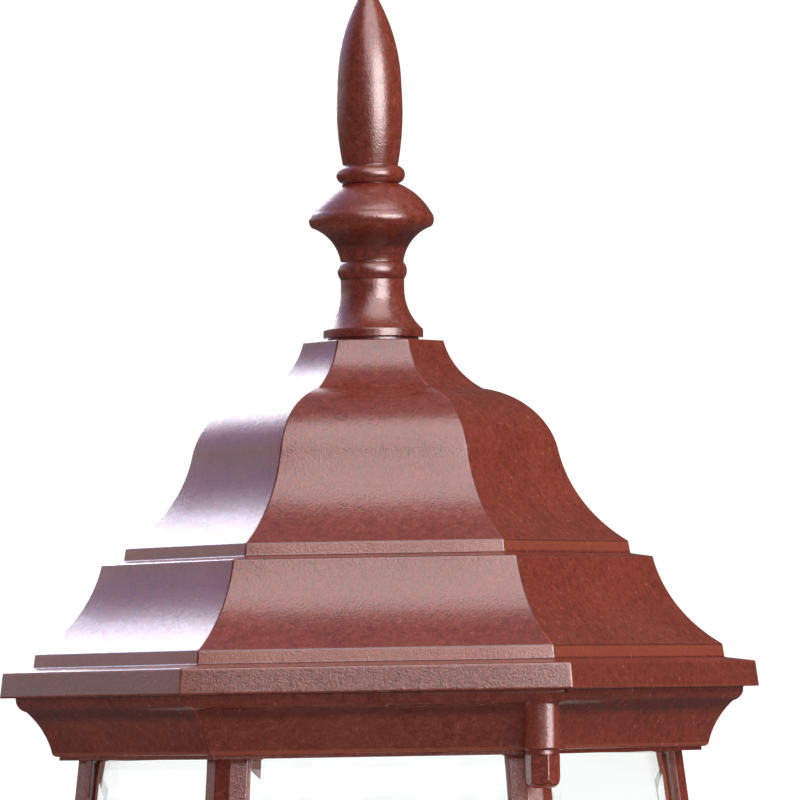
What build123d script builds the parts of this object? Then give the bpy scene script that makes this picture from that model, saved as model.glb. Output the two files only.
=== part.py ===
"""Hexagonal cast wall lantern with a stepped, lift-off roof, on a swan-neck arm.

All sizes are millimetres. The part's origin is the middle of the wall plate's back, on the wall:
+Z is up, the wall is the plane Y = 0 and the lantern stands out along -Y.
The lantern itself is drawn about its own upright axis, with height 0 at the seat where the roof
rests on the cage, and is then put in its place in front of the wall.
Its six corners are named radii "across corners", because that is what shows from the front.
"""
import os
from math import atan2, cos, degrees, radians, sin, sqrt, tan

from build123d import *

# Hexagon: two corners lie on the X axis and one flat face looks straight to the front
HALF_FACE = radians(30)
FACE_TURN = 60

# Clearances
thread_gap = 0.05
hole_gap = 0.3
glass_gap = 0.2
sleeve_gap = 0.4
locating_gap = 1.0

# Cornice, the moulding that roof and base share: a fascia over an S-shaped cyma with a rounded foot
fascia_r = 122.3
fascia_lean = 1.1
fascia_h = 8.2
drip_in = 5.1
step_h = 0.8
cyma_in = 11.3
cyma_h = 18.3
cyma_turn_in = 3.4
cyma_turn_drop = 3.8
cyma_top_sag = 0.8
cyma_low_sag = 1.0
foot_round = 1.6

# Lower tier of the roof, which swells between a short skirt and the upper tier's ledge
lower_ledge_in = 9.8
ledge_rise = 1.3
lower_skirt_lean = 0.7
lower_skirt_h = 4.3
lower_tier_h = 28.5
lower_tier_sag = 3.3

# Upper tier: skirt, concave flare, swelling shoulder, and a crown that carries the finial
upper_ledge_in = 7.1
upper_ledge_rise = 1.1
upper_skirt_r = 81.7
upper_skirt_lean = 0.7
upper_skirt_h = 4.0
flare_top_r = 59.2
flare_h = 29.1
flare_sag = 3.3
shoulder_top_r = 35.2
shoulder_h = 20.7
shoulder_sag = 4.65
crown_ledge = 3.58
crown_h = 15.7
crown_sag = 1.93
roof_wall = 3.0
rim_wall = 3.4
rim_hollow_start = 8.0

# Number 10 studs hold roof, finial and wall plate, with cap nuts outside and lock nuts inside
stud_r = 2.415
stud_nut_h = 3.4

# Two bosses under the cornice, beside opposite corners, with a stud and a cap nut each
boss_from_corner = 1.55
boss_proud = 3.23
boss_r = 5.6
boss_hole_depth = 12.0
stud_grip = 7.5

# Cap nut: hexagon with a low crown, and a blind thread
nut_flats = 9.53
nut_hex_h = 7.4
nut_crown_h = 3.2
nut_crown_r = 2.95
nut_crown_sag = 0.7
nut_bore_depth = 7.8

# Finial: radius and height of each turned feature, counted from the roof's flat top
finial_foot_r = 14.6
finial_foot_h = 1.2
finial_base_r = 16.1
finial_base_h = 2.6
lower_neck_r = 10.25
lower_flare_h = 13.3
lower_flare_sag = 1.6
lower_neck_h = 3.0
collar_r = 11.2
collar_h = 5.3
upper_neck_r = 10.1
mushroom_r = 20.2
mushroom_rim_sag = 0.9
mushroom_rim_h = 4.6
mushroom_under_h = 11.5
mushroom_under_sag = 2.1
mushroom_dome_h = 9.4
mushroom_dome_sag = 1.2
slim_neck_r = 8.8
bead_r = 11.1
bead_h = 5.7
spire_foot_r = 8.85
spire_belly_r = 10.45
spire_belly_up = 25.7
spire_belly_sag = 0.85
spire_tip_r = 2.1
spire_taper_h = 30.6
spire_taper_sag = 2.1
spire_tip_h = 1.4
finial_stud_up = 16.0
finial_stud_spare = 2.5
finial_washer_r = 7.0
finial_washer_h = 1.2

# Cage: top ring, six leaning corner posts, six bevelled panes
ring_in = 2.6
ring_w = 14.4
ring_h = 1.2
ring_lip_wall = 2.0
ring_lip_h = 6.0
lug_r = 5.3
cage_h = 160.8
post_in = 6.4
post_foot_in = 3.38
post_facet_w = 5.5
post_wing_w = 5.5
post_wing_t = 2.0
post_web_w = 5.0
post_inner_wing_w = 6.6
post_inner_wing_t = 1.5
glass_t = 3.0
glass_side_gap = 1.0
glass_edge_t = 1.6
glass_bevel_w = 12.0
post_screw_r = 1.45
post_screw_head_r = 2.75
post_screw_head_h = 1.9
post_screw_length = 9.0
post_screw_in = 3.0
base_screw_in = 5.2

# Base casting: the cornice's moulding again, with a deck that carries posts, glass and lamp
deck_edge_in = 1.6
deck_edge_rise = 0.6
deck_t = 3.4
base_foot_wall = 4.5
base_rim_wall = 6.0

# Bowl under the base, an upturned ogee
bowl_in = 2.5
bowl_band_h = 5.0
bowl_band_in = 1.2
bowl_shoulder_in = 6.0
bowl_shoulder_drop = 6.5
bowl_waist_r = 51.0
bowl_waist_drop = 28.0
bowl_waist_sag = 5.5
bowl_hub_r = 20.0
bowl_h = 42.0
bowl_hub_sag = 2.6
bowl_wall = 3.0

# Lamp cluster on the deck
nipple_r = 4.85
nipple_bore_r = 3.5
nipple_grip = 12.0
nipple_spare = 2.0
lock_nut_flats = 15.9
lock_nut_h = 4.8
bracket_t = 1.6
bracket_hub_r = 14.0
bracket_arm_w = 13.0
bracket_pad_edge = 0.8
lamp_count = 3
lamp_ring_r = 32.0
socket_r = 9.6
socket_h = 50.0
sleeve_r = 11.7
sleeve_h = 54.0
cap_r = 5.9
cap_h = 21.0
cap_depth = 16.0
cap_tip_r = 3.0
cap_tip_h = 1.5
bulb_r = 16.5
bulb_neck_r = 6.4
bulb_belly_up = 30.0
bulb_belly_sag = 1.6
bulb_h = 76.0
bulb_taper_sag = 4.2
bulb_tip_r = 1.6
bulb_wall = 0.8

# Arm: a tube bent as a swan neck between two turned collars
axis_out = 150.0
arm_r = 9.0
arm_root_z = -15.0
arm_dip_angle = 40.0
arm_dip_radius = 45.0
arm_straight = 10.0
collar_grip = 8.0
collar_length = 16.0
collar_rim_r = 19.0
collar_rim_h = 2.0
collar_waist_r = 13.2
collar_waist_up = 8.0
collar_waist_sag = 1.5
collar_bead_proud = 1.0
collar_bead_h = 2.0
collar_bead_sag = 0.8
collar_lip_r = 12.15
collar_lip_h = 2.0

# Wall plate, a hollow stepped casting with canted corners
plate_w = 120.0
plate_h = 165.0
plate_cut = 26.0
plate_rim_d = 7.0
plate_slope_d = 11.0
plate_field_d = 6.0
plate_rim_in = 5.0
plate_slope_in = 8.0
plate_field_in = 2.0
plate_wall = 3.0

# Mounting strap behind the plate
strap_w = 18.0
strap_end = 10.0
strap_t = 2.0
strap_bore_r = 5.2
slot_centre = 39.7
slot_length = 14.5
slot_r = 2.3
plate_stud_in = 25.5
plate_stud_grip = 7.5
ground_screw_z = -22.0
ground_screw_r = 2.0
ground_head_r = 4.0
ground_head_h = 2.2


def apothem(corner_r):
    """Distance from the axis to the middle of a face, for a hexagon of this corner radius."""
    return corner_r * cos(HALF_FACE)


def flats_to_corner(flats):
    return flats / 2 / cos(HALF_FACE)


def bow(a, b, sag):
    """Middle point of an arc from a to b that swells by sag to the left of the way from a to b."""
    dx, dy = b[0] - a[0], b[1] - a[1]
    run = sqrt(dx * dx + dy * dy)
    return ((a[0] + b[0]) / 2 - dy / run * sag, (a[1] + b[1]) / 2 + dx / run * sag)


def outline(start, *steps):
    """Joined lines and arcs. A step is the next point, or a pair of that point and the arc's sag."""
    edges = []
    here = start
    for step in steps:
        if isinstance(step[0], tuple):
            there, sag = step
            edges.append(ThreePointArc(here, bow(here, there, sag), there))
        else:
            there = step
            edges.append(Line(here, there))
        here = there
    return edges


def round_end_sag(radius, height):
    """Sag of the arc that closes an outline at the axis as part of a ball, of this radius and height."""
    ball = (radius * radius + height * height) / (2 * height)
    return ball - sqrt(ball * ball - (radius * radius + height * height) / 4)


def hexagonal(half):
    """Solid that is a regular hexagon at every level.

    half is the outline of face distance against height, from the axis out and back to the axis.
    The whole outline is drawn out sideways as a bar, and three bars at 60 degrees are intersected.
    """
    face = make_face(half + list(mirror(half, about=Plane.YZ).edges()))
    bar = extrude(Plane.YZ * face, amount=2 * fascia_r, both=True)
    body = bar
    for turn in (FACE_TURN, 2 * FACE_TURN):
        body = body & (Rot(0, 0, turn) * bar)
    return body


def turned(half):
    """Solid of revolution about the upright axis, from an outline of radius against height."""
    return revolve(Plane.XZ * make_face(half), axis=Axis.Z)


def rod(radius, low, high):
    return Pos(0, 0, low) * Cylinder(radius, high - low, align=(Align.CENTER, Align.CENTER, Align.MIN))


def hex_prism(corner_r, low, high):
    return Pos(0, 0, low) * extrude(RegularPolygon(corner_r, 6), amount=high - low)


def one_solid(shape):
    """The shape as a single solid, or as it is where it holds several."""
    solids = shape.solids()
    return solids[0] if len(solids) == 1 else Compound(children=list(solids))


# Corner radii that follow from the cornice, the upper tier and the finial
fascia_top_r = fascia_r - fascia_lean
cyma_top_r = fascia_r - drip_in
foot_r = cyma_top_r - cyma_in
lower_skirt_r = fascia_top_r - lower_ledge_in
lower_skirt_top_r = lower_skirt_r - lower_skirt_lean
upper_skirt_top_r = upper_skirt_r - upper_skirt_lean
lower_tier_top_r = upper_skirt_r + upper_ledge_in
crown_r = (finial_base_r + crown_ledge) / cos(HALF_FACE)
boss_x = foot_r / 2 - boss_from_corner
boss_y = apothem(foot_r) + boss_proud
ring_r = foot_r - ring_in
ring_inner_r = ring_r - ring_w
post_facet_r = ring_r - post_in
deck_edge_r = fascia_top_r - deck_edge_in
bowl_r = foot_r - bowl_in
bowl_shoulder_r = bowl_r - bowl_shoulder_in

# The posts lean so that their feet come just inside the deck's edge
post_foot_r = deck_edge_r - post_foot_in
cage_lean = (post_foot_r - post_facet_r) / cage_h
base_screw_r = post_foot_r - base_screw_in
top_screw_r = post_facet_r - post_screw_in

# Heights of the roof's features above the seat
step_z = cyma_h + step_h
fascia_z = step_z + fascia_h
lower_skirt_z = fascia_z + ledge_rise
lower_skirt_top_z = lower_skirt_z + lower_skirt_h
lower_tier_top_z = lower_skirt_top_z + lower_tier_h
upper_skirt_z = lower_tier_top_z + upper_ledge_rise
upper_skirt_top_z = upper_skirt_z + upper_skirt_h
flare_top_z = upper_skirt_top_z + flare_h
shoulder_top_z = flare_top_z + shoulder_h
crown_z = shoulder_top_z + crown_h

# Heights below the seat
deck_z = -ring_h - cage_h
base_h = fascia_z + deck_edge_rise
base_foot_z = deck_z - base_h
bowl_bottom_z = base_foot_z - bowl_h
arm_end_z = bowl_bottom_z - collar_length + collar_grip

# Wall plate and strap
plate_stud_z = plate_h / 2 - plate_stud_in
strap_l = 2 * (plate_stud_z + strap_end)

# Arm: the second bend's radius is what carries the first one out to the lantern's axis
plate_d = plate_rim_d + plate_slope_d + plate_field_d
arm_start_out = plate_d + collar_length - collar_grip
dip = radians(arm_dip_angle)
arm_rise_radius = (
    (axis_out - arm_start_out - arm_straight - arm_dip_radius * sin(dip)) / (1 + sin(dip))
)
arm_rise = arm_rise_radius * cos(dip) - arm_dip_radius * (1 - cos(dip)) + arm_straight
seat_z = arm_root_z + arm_rise - arm_end_z


def moulding():
    """The cornice's outside from its foot to the top of its fascia, shared by roof and base."""
    quarter_round_sag = foot_round * (1 - cos(radians(45)))
    return [
        (apothem(foot_r) - foot_round, 0),
        ((apothem(foot_r), foot_round), -quarter_round_sag),
        ((apothem(cyma_top_r - cyma_turn_in), cyma_h - cyma_turn_drop), cyma_low_sag),
        ((apothem(cyma_top_r), cyma_h), -cyma_top_sag),
        (apothem(cyma_top_r), step_z),
        (apothem(fascia_r), step_z),
        (apothem(fascia_top_r), fascia_z),
    ]


def tiers(inset):
    """The two tiers from the lower skirt's top to the crown, moved in and down by inset."""
    return [
        (apothem(lower_skirt_top_r) - inset, lower_skirt_top_z - inset),
        ((apothem(lower_tier_top_r) - inset, lower_tier_top_z - inset), lower_tier_sag),
        (apothem(upper_skirt_r) - inset, upper_skirt_z - inset),
        (apothem(upper_skirt_top_r) - inset, upper_skirt_top_z - inset),
        ((apothem(flare_top_r) - inset, flare_top_z - inset), flare_sag),
        ((apothem(shoulder_top_r) - inset, shoulder_top_z - inset), -shoulder_sag),
        ((apothem(crown_r) - inset, crown_z - inset), crown_sag),
        (0, crown_z - inset),
    ]


def boss_places():
    """Front boss beside the right front corner, rear boss opposite, as (x, y, turn)."""
    return [(boss_x, -boss_y, 0), (-boss_x, boss_y, 180)]


def boss_shape(radius, low, high):
    """Upright pad with a round front, whose straight sides run back into the casting behind it."""
    back = boss_y - apothem(foot_r) + 2 * radius
    pad = Circle(radius) + Pos(0, back / 2) * Rectangle(2 * radius, back)
    return Pos(0, 0, low) * extrude(pad, amount=high - low)


def make_roof_casting():
    outer = hexagonal(outline(
        (0, 0),
        *moulding(),
        (apothem(lower_skirt_r), lower_skirt_z),
        *tiers(0),
    ))
    for x, y, turn in boss_places():
        outer += Pos(x, y, 0) * Rot(0, 0, turn) * boss_shape(boss_r, 0, step_z)
    foot_in = apothem(foot_r) - rim_wall
    rim_in = apothem(cyma_top_r) - roof_wall
    skirt_in = apothem(lower_skirt_top_r) - roof_wall
    hollow = hexagonal(outline(
        (0, -1),
        (foot_in, -1),
        (foot_in, rim_hollow_start),
        (rim_in, step_z + roof_wall / 2),
        (rim_in, fascia_z - roof_wall),
        (skirt_in, lower_skirt_z - rim_wall),
        *tiers(roof_wall),
    ))
    roof = outer - hollow
    roof -= rod(stud_r + hole_gap, crown_z - 2 * roof_wall, crown_z + roof_wall)
    for x, y, turn in boss_places():
        roof -= Pos(x, y, 0) * rod(stud_r + thread_gap, -1, boss_hole_depth)
    return roof


def finial_levels():
    """Heights of the finial's features above the seat, from its foot to its tip."""
    base = crown_z + finial_foot_h
    flare = base + finial_base_h
    neck = flare + lower_flare_h
    collar = neck + lower_neck_h
    above_collar = collar + collar_h
    rim = above_collar + mushroom_under_h
    dome = rim + mushroom_rim_h
    slim = dome + mushroom_dome_h
    bead = slim + bead_h
    belly = bead + spire_belly_up
    tip = belly + spire_taper_h
    return base, flare, neck, collar, above_collar, rim, dome, slim, bead, belly, tip


def make_finial():
    base, flare, neck, collar, above_collar, rim, dome, slim, bead, belly, tip = finial_levels()
    rim_edge_r = mushroom_r - mushroom_rim_sag
    half = outline(
        (0, crown_z),
        (finial_foot_r, crown_z),
        (finial_foot_r, base),
        (finial_base_r, base),
        (finial_base_r, flare),
        ((lower_neck_r, neck), lower_flare_sag),
        (lower_neck_r, collar),
        ((lower_neck_r, above_collar), -(collar_r - lower_neck_r)),
        (upper_neck_r, above_collar),
        ((rim_edge_r, rim), mushroom_under_sag),
        ((rim_edge_r, dome), -mushroom_rim_sag),
        ((slim_neck_r, slim), -mushroom_dome_sag),
        ((slim_neck_r, bead), -(bead_r - slim_neck_r)),
        (spire_foot_r, bead),
        ((spire_belly_r, belly), -spire_belly_sag),
        ((spire_tip_r, tip), -spire_taper_sag),
        ((0, tip + spire_tip_h), -round_end_sag(spire_tip_r, spire_tip_h)),
        (0, crown_z),
    )
    return turned(half) - rod(stud_r + thread_gap, crown_z - 1, crown_z + finial_stud_up)


def make_finial_stud():
    low = crown_z - roof_wall - finial_washer_h - stud_nut_h - finial_stud_spare
    return rod(stud_r, low, crown_z + finial_stud_up)


def make_finial_washer():
    top = crown_z - roof_wall
    low = top - finial_washer_h
    return rod(finial_washer_r, low, top) - rod(stud_r + hole_gap, low - 1, top + 1)


def make_finial_lock_nut():
    top = crown_z - roof_wall - finial_washer_h
    low = top - stud_nut_h
    nut = hex_prism(flats_to_corner(nut_flats), low, top)
    return nut - rod(stud_r + thread_gap, low - 1, top + 1)


def make_roof_studs():
    length_low = -ring_h - stud_grip
    return [Pos(x, y, 0) * rod(stud_r, length_low, boss_hole_depth) for x, y, turn in boss_places()]


def cap_nut():
    """Cap nut on the Z axis, its open face at height 0 and its crown pointing down."""
    corner = flats_to_corner(nut_flats)
    body = hex_prism(corner, -nut_hex_h - nut_crown_h, 0)
    crown = turned(outline(
        (0, -nut_hex_h - nut_crown_h),
        (nut_crown_r, -nut_hex_h - nut_crown_h),
        ((corner, -nut_hex_h), -nut_crown_sag),
        (corner, 0),
        (0, 0),
        (0, -nut_hex_h - nut_crown_h),
    ))
    return (body & crown) - rod(stud_r + thread_gap, -nut_bore_depth, 1)


def make_roof_nut(place):
    x, y, turn = boss_places()[place]
    return Pos(x, y, -ring_h) * cap_nut()


def corner_place(number):
    """Turn that carries the corner on +X to corner number 0 to 5, counted from the right."""
    return Rot(0, 0, number * FACE_TURN)


def make_top_ring():
    lip_r = (apothem(foot_r) - rim_wall - locating_gap) / cos(HALF_FACE)
    lip_in_r = lip_r - ring_lip_wall / cos(HALF_FACE)
    ring = hex_prism(ring_r, -ring_h, 0)
    for x, y, turn in boss_places():
        ring += Pos(x, y, 0) * Rot(0, 0, turn) * boss_shape(lug_r, -ring_h, 0)
    ring += hex_prism(lip_r, -ring_h, ring_lip_h)
    ring -= hex_prism(lip_in_r, 0, ring_lip_h + 1)
    ring -= hex_prism(ring_inner_r, -ring_h - 1, 1)
    for x, y, turn in boss_places():
        ring -= Pos(x, y, 0) * rod(stud_r + hole_gap, -ring_h - 1, 1)
    screw_hole = Pos(top_screw_r, 0, 0) * rod(post_screw_r + hole_gap / 2, -ring_h - 1, 1)
    for number in range(6):
        ring -= corner_place(number) * screw_hole
    return ring


def post_point(depth, sideways):
    """Point of the post's section: depth behind the wing's outer plane, sideways from the corner line.

    The section is drawn about the corner line, X outwards, and its wings lie along the two faces.
    """
    along = (sideways - post_facet_w / 2 + depth * sin(HALF_FACE)) / cos(HALF_FACE)
    return (post_facet_r - depth * cos(HALF_FACE) - along * sin(HALF_FACE), sideways)


def wing_end(depth, width):
    """Point at the free edge of a wing of this width, depth behind the outer plane."""
    sideways = post_facet_w / 2 - depth * sin(HALF_FACE) + width * cos(HALF_FACE)
    return (post_facet_r - depth * cos(HALF_FACE) - width * sin(HALF_FACE), sideways)


def post_section():
    """Extrusion with an outer and an inner pair of wings, which hold two panes between them."""
    channel = glass_t + 2 * glass_gap
    behind = post_wing_t + channel
    back = behind + post_inner_wing_t
    web = post_web_w / 2
    half = [
        (post_facet_r, post_facet_w / 2),
        wing_end(0, post_wing_w),
        wing_end(post_wing_t, post_wing_w),
        post_point(post_wing_t, web),
        post_point(behind, web),
        wing_end(behind, post_inner_wing_w),
        wing_end(back, post_inner_wing_w),
        post_point(back, 0),
    ]
    other = [(x, -y) for x, y in reversed(half[:-1])]
    return make_face(Polyline(*half, *other, close=True))


def make_post(number):
    """Post that leans outwards as it goes down, with level ends."""
    top = Pos(0, 0, -ring_h) * post_section()
    post = Solid.extrude(top.faces()[0], Vector(cage_lean * cage_h, 0, -cage_h))
    post -= Pos(top_screw_r, 0, 0) * rod(post_screw_r + thread_gap, -ring_h - post_screw_length, 1)
    post -= Pos(base_screw_r, 0, 0) * rod(post_screw_r + thread_gap, deck_z - 1, deck_z + post_screw_length)
    return corner_place(number) * one_solid(post)


def wing_plane(height):
    """Distance from the axis to the wings' outer plane at this height below the seat."""
    top = apothem(post_facet_r) + post_facet_w / 2 * sin(HALF_FACE)
    return top + apothem(cage_lean) * (-ring_h - height)


def trapezium(half_top, half_low, length):
    return make_face(Polyline(
        (-half_top, 0), (half_top, 0), (half_low, -length), (-half_low, -length), close=True
    ))


def make_pane(number):
    """Bevelled pane in the channels of two posts, standing on the deck.

    It is drawn in its own leaning plane, Y up the slope and Z outwards, with its back face at Z = 0.
    """
    lean = apothem(cage_lean)
    slope = sqrt(1 + lean * lean)
    front_set = post_wing_t + glass_gap
    length = cage_h * slope - glass_t * lean - 2 * glass_gap
    web_line = post_point(front_set + glass_t / 2, post_web_w / 2)
    web_reach = web_line[0] * sin(HALF_FACE) - web_line[1] * cos(HALF_FACE)
    half_top = web_reach - glass_side_gap
    half_low = half_top + length * lean / slope * tan(HALF_FACE)
    plate = extrude(trapezium(half_top, half_low, length), amount=glass_edge_t)
    field = trapezium(half_top - glass_bevel_w, half_low - glass_bevel_w, length - 2 * glass_bevel_w)
    rise = loft([
        Pos(0, 0, glass_edge_t) * trapezium(half_top, half_low, length),
        Pos(0, -glass_bevel_w, glass_t) * field,
    ], ruled=True)
    pane = plate + rise
    top_z = -ring_h - glass_gap - glass_t * lean / slope
    back_out = wing_plane(top_z) - (front_set + glass_t) * slope
    tilt = degrees(atan2(lean, 1))
    upright = Pos(0, -back_out, top_z) * Rot(90 - tilt, 0, 0)
    return Rot(0, 0, number * FACE_TURN) * (upright * pane)


def post_screw(turned_over):
    """Pan-head screw on the Z axis, head above height 0, or below it when turned over."""
    sign = -1 if turned_over else 1
    head_low, head_high = sorted((0, sign * post_screw_head_h))
    shank_low, shank_high = sorted((0, -sign * post_screw_length))
    head = fillet(
        rod(post_screw_head_r, head_low, head_high).edges().group_by(Axis.Z)[-1 if sign > 0 else 0],
        post_screw_head_h / 2,
    )
    return head + rod(post_screw_r, shank_low, shank_high)


def make_post_screws_top():
    place = Pos(top_screw_r, 0, 0)
    return [corner_place(number) * place * post_screw(False) for number in range(6)]


def make_post_screws_base():
    place = Pos(base_screw_r, 0, deck_z - deck_t)
    return [corner_place(number) * place * post_screw(True) for number in range(6)]


def make_base_casting():
    outer = hexagonal(outline(
        (0, 0),
        *moulding(),
        (apothem(deck_edge_r), base_h),
        (0, base_h),
    ))
    foot_in = apothem(foot_r) - base_foot_wall
    rim_in = apothem(fascia_r) - base_rim_wall
    hollow = hexagonal(outline(
        (0, -1),
        (foot_in, -1),
        (foot_in, rim_hollow_start),
        (rim_in, step_z + base_foot_wall / 2),
        (rim_in, base_h - deck_t),
        (0, base_h - deck_t),
    ))
    base = Pos(0, 0, base_foot_z) * (outer - hollow)
    base -= rod(nipple_r + hole_gap, deck_z - 2 * deck_t, deck_z + 1)
    screw_hole = Pos(base_screw_r, 0, 0) * rod(post_screw_r + hole_gap / 2, deck_z - 2 * deck_t, deck_z + 1)
    for number in range(6):
        base -= corner_place(number) * screw_hole
    return base


def bowl_outline(inset):
    """The bowl's outside from its hub up to its rim, moved in and up by inset."""
    rim = apothem(bowl_r)
    return [
        (apothem(bowl_hub_r) - inset, inset - bowl_h),
        ((apothem(bowl_waist_r) - inset, inset - bowl_waist_drop), bowl_hub_sag),
        ((apothem(bowl_shoulder_r) - inset, inset - bowl_shoulder_drop), -bowl_waist_sag),
        (rim - bowl_band_in - inset, inset - bowl_band_h),
    ]


def make_bottom_bowl():
    rim = apothem(bowl_r)
    outer = hexagonal(outline((0, -bowl_h), *bowl_outline(0), (rim, 0), (0, 0)))
    hollow = hexagonal(outline(
        (0, bowl_wall - bowl_h), *bowl_outline(bowl_wall), (rim - bowl_wall, bowl_wall), (0, bowl_wall)
    ))
    bowl = Pos(0, 0, base_foot_z) * (outer - hollow)
    return bowl - rod(nipple_r + hole_gap, bowl_bottom_z - 1, bowl_bottom_z + 2 * bowl_wall)


def make_lamp_nipple():
    low = arm_end_z - nipple_grip
    high = deck_z + bracket_t + lock_nut_h + nipple_spare
    return rod(nipple_r, low, high) - rod(nipple_bore_r, low - 1, high + 1)


def make_lamp_lock_nut():
    low = deck_z + bracket_t
    nut = hex_prism(flats_to_corner(lock_nut_flats), low, low + lock_nut_h)
    return nut - rod(nipple_r + thread_gap, low - 1, low + lock_nut_h + 1)


def lamp_places():
    """One lamp to the front and two behind, evenly round the axis."""
    return [
        Rot(0, 0, 360 / lamp_count * number - 90) * Pos(lamp_ring_r, 0, 0) for number in range(lamp_count)
    ]


def make_socket_bracket():
    star = Circle(bracket_hub_r)
    for number in range(lamp_count):
        arm = Pos(lamp_ring_r / 2, 0) * Rectangle(lamp_ring_r, bracket_arm_w)
        arm += Pos(lamp_ring_r, 0) * Circle(sleeve_r + bracket_pad_edge)
        star += Rot(0, 0, 360 / lamp_count * number - 90) * arm
    plate = Pos(0, 0, deck_z) * extrude(star, amount=bracket_t)
    return plate - rod(nipple_r + hole_gap, deck_z - 1, deck_z + bracket_t + 1)


def make_lamp_sockets():
    low = deck_z + bracket_t
    top = low + socket_h
    socket = rod(socket_r, low, top) - rod(cap_r + thread_gap, top - cap_depth, top + 1)
    return [place * socket for place in lamp_places()]


def make_candle_sleeves():
    low = deck_z + bracket_t
    inner = socket_r + sleeve_gap
    sleeve = rod(sleeve_r, low, low + sleeve_h) - rod(inner, low - 1, low + sleeve_h + 1)
    return [place * sleeve for place in lamp_places()]


def make_bulb_caps():
    low = deck_z + bracket_t + socket_h - cap_depth
    cap = rod(cap_tip_r, low, low + cap_tip_h) + rod(cap_r, low + cap_tip_h, low + cap_h)
    return [place * cap for place in lamp_places()]


def make_bulb_glass():
    """Flame-shaped bulb, a thin closed shell that stands on its screw cap."""
    low = deck_z + bracket_t + socket_h - cap_depth + cap_h

    def flame(wall):
        return outline(
            (0, low + wall),
            (bulb_neck_r - wall, low + wall),
            ((bulb_r - wall, low + bulb_belly_up), bulb_belly_sag),
            ((bulb_tip_r - wall / 2, low + bulb_h - 1.5 * wall), -bulb_taper_sag),
            (0, low + bulb_h - wall),
            (0, low + wall),
        )

    bulb = turned(flame(0)) - turned(flame(bulb_wall))
    return [place * bulb for place in lamp_places()]


def turned_collar():
    """Collar on the Z axis: a wide rim at height 0, a waist, and a bead over the lip at the arm's end."""
    bead_low = -collar_length + collar_lip_h
    collar_bead_r = collar_waist_r + collar_bead_proud
    body = turned(outline(
        (0, 0),
        (collar_rim_r, 0),
        (collar_rim_r, -collar_rim_h),
        ((collar_waist_r, -collar_waist_up), collar_waist_sag),
        (collar_bead_r, bead_low + collar_bead_h),
        ((collar_bead_r, bead_low), -collar_bead_sag),
        (collar_lip_r, -collar_length),
        (0, -collar_length),
        (0, 0),
    ))
    body -= rod(arm_r + thread_gap, -collar_length - 1, -collar_length + collar_grip)
    return body - rod(nipple_r + hole_gap, -collar_length, 1)


def make_arm_top_collar():
    return Pos(0, 0, bowl_bottom_z) * turned_collar()


def arm_path():
    """The tube's centre line in the wall's frame: level, dipping, then rising to the lantern's axis."""
    start = (-arm_start_out, arm_root_z)
    first = Line(start, (start[0] - arm_straight, start[1]))
    down = JernArc(first @ 1, first % 1, arm_dip_radius, arm_dip_angle)
    up = JernArc(down @ 1, down % 1, arm_rise_radius, -(90 + arm_dip_angle))
    last = Line(up @ 1, up @ 1 + (up % 1) * arm_straight)
    return Plane.YZ * (first + down + up + last)


def make_arm_tube():
    path = arm_path().wire()
    section = Plane(origin=path @ 0, z_dir=path % 0) * (Circle(arm_r) - Circle(nipple_r + thread_gap))
    return sweep(section, path=path)


def outwards(shape, z=0.0):
    """A piece drawn about the Z axis, laid along Y: its height becomes distance from the wall."""
    return Pos(0, 0, z) * Rot(90, 0, 0) * shape


def make_arm_root_collar():
    return outwards(Pos(0, 0, plate_d) * Rot(180, 0, 0) * turned_collar(), arm_root_z)


def make_root_nipple():
    low = plate_d - plate_wall - lock_nut_h - nipple_spare
    high = arm_start_out + nipple_grip
    tube = rod(nipple_r, low, high) - rod(nipple_bore_r, low - 1, high + 1)
    return outwards(tube, arm_root_z)


def make_root_lock_nut():
    high = plate_d - plate_wall
    nut = hex_prism(flats_to_corner(lock_nut_flats), high - lock_nut_h, high)
    return outwards(nut - rod(nipple_r + thread_gap, high - lock_nut_h - 1, high + 1), arm_root_z)


def plate_sketch(inset):
    """Upright rectangle with canted corners, every side moved in by inset."""
    half_w = plate_w / 2 - inset
    half_h = plate_h / 2 - inset
    cut = plate_cut - inset * (2 - sqrt(2))
    quarter = [(half_w, half_h - cut), (half_w - cut, half_h)]
    points = quarter + [(-x, y) for x, y in reversed(quarter)]
    points += [(-x, -y) for x, y in points]
    return make_face(Polyline(*points, close=True))


def plate_steps(inset, start):
    """Rim, slope and raised field of the plate, all moved in and back by inset."""
    rim = plate_rim_d - inset
    slope = rim + plate_slope_d
    field = slope + plate_field_d
    foot_in = plate_rim_in + inset
    head_in = foot_in + plate_slope_in
    body = Pos(0, 0, start) * extrude(plate_sketch(inset), amount=rim - start)
    body += loft([
        Pos(0, 0, rim) * plate_sketch(foot_in),
        Pos(0, 0, slope) * plate_sketch(head_in),
    ], ruled=True)
    return body + Pos(0, 0, slope) * extrude(plate_sketch(head_in + plate_field_in), amount=field - slope)


def make_wall_plate():
    plate = plate_steps(0, 0) - plate_steps(plate_wall, -1)
    plate -= Pos(0, arm_root_z, 0) * rod(nipple_r + hole_gap, 0, plate_d + 1)
    for side in (-1, 1):
        plate -= Pos(0, side * plate_stud_z, 0) * rod(stud_r + hole_gap, 0, plate_d + 1)
    return outwards(plate)


def make_mounting_strap():
    """Strap along Z with two slots for the outlet box, drawn flat with its length along Y."""
    strap = SlotCenterToCenter(strap_l - strap_w, strap_w, rotation=90)
    strap -= Circle(strap_bore_r)
    for side in (-1, 1):
        slot = SlotCenterToCenter(slot_length - 2 * slot_r, 2 * slot_r, rotation=90)
        strap -= Pos(0, side * slot_centre) * slot
        strap -= Pos(0, side * plate_stud_z) * Circle(stud_r + thread_gap)
    strap -= Pos(0, ground_screw_z) * Circle(ground_screw_r + thread_gap)
    return outwards(extrude(strap, amount=strap_t))


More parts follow.
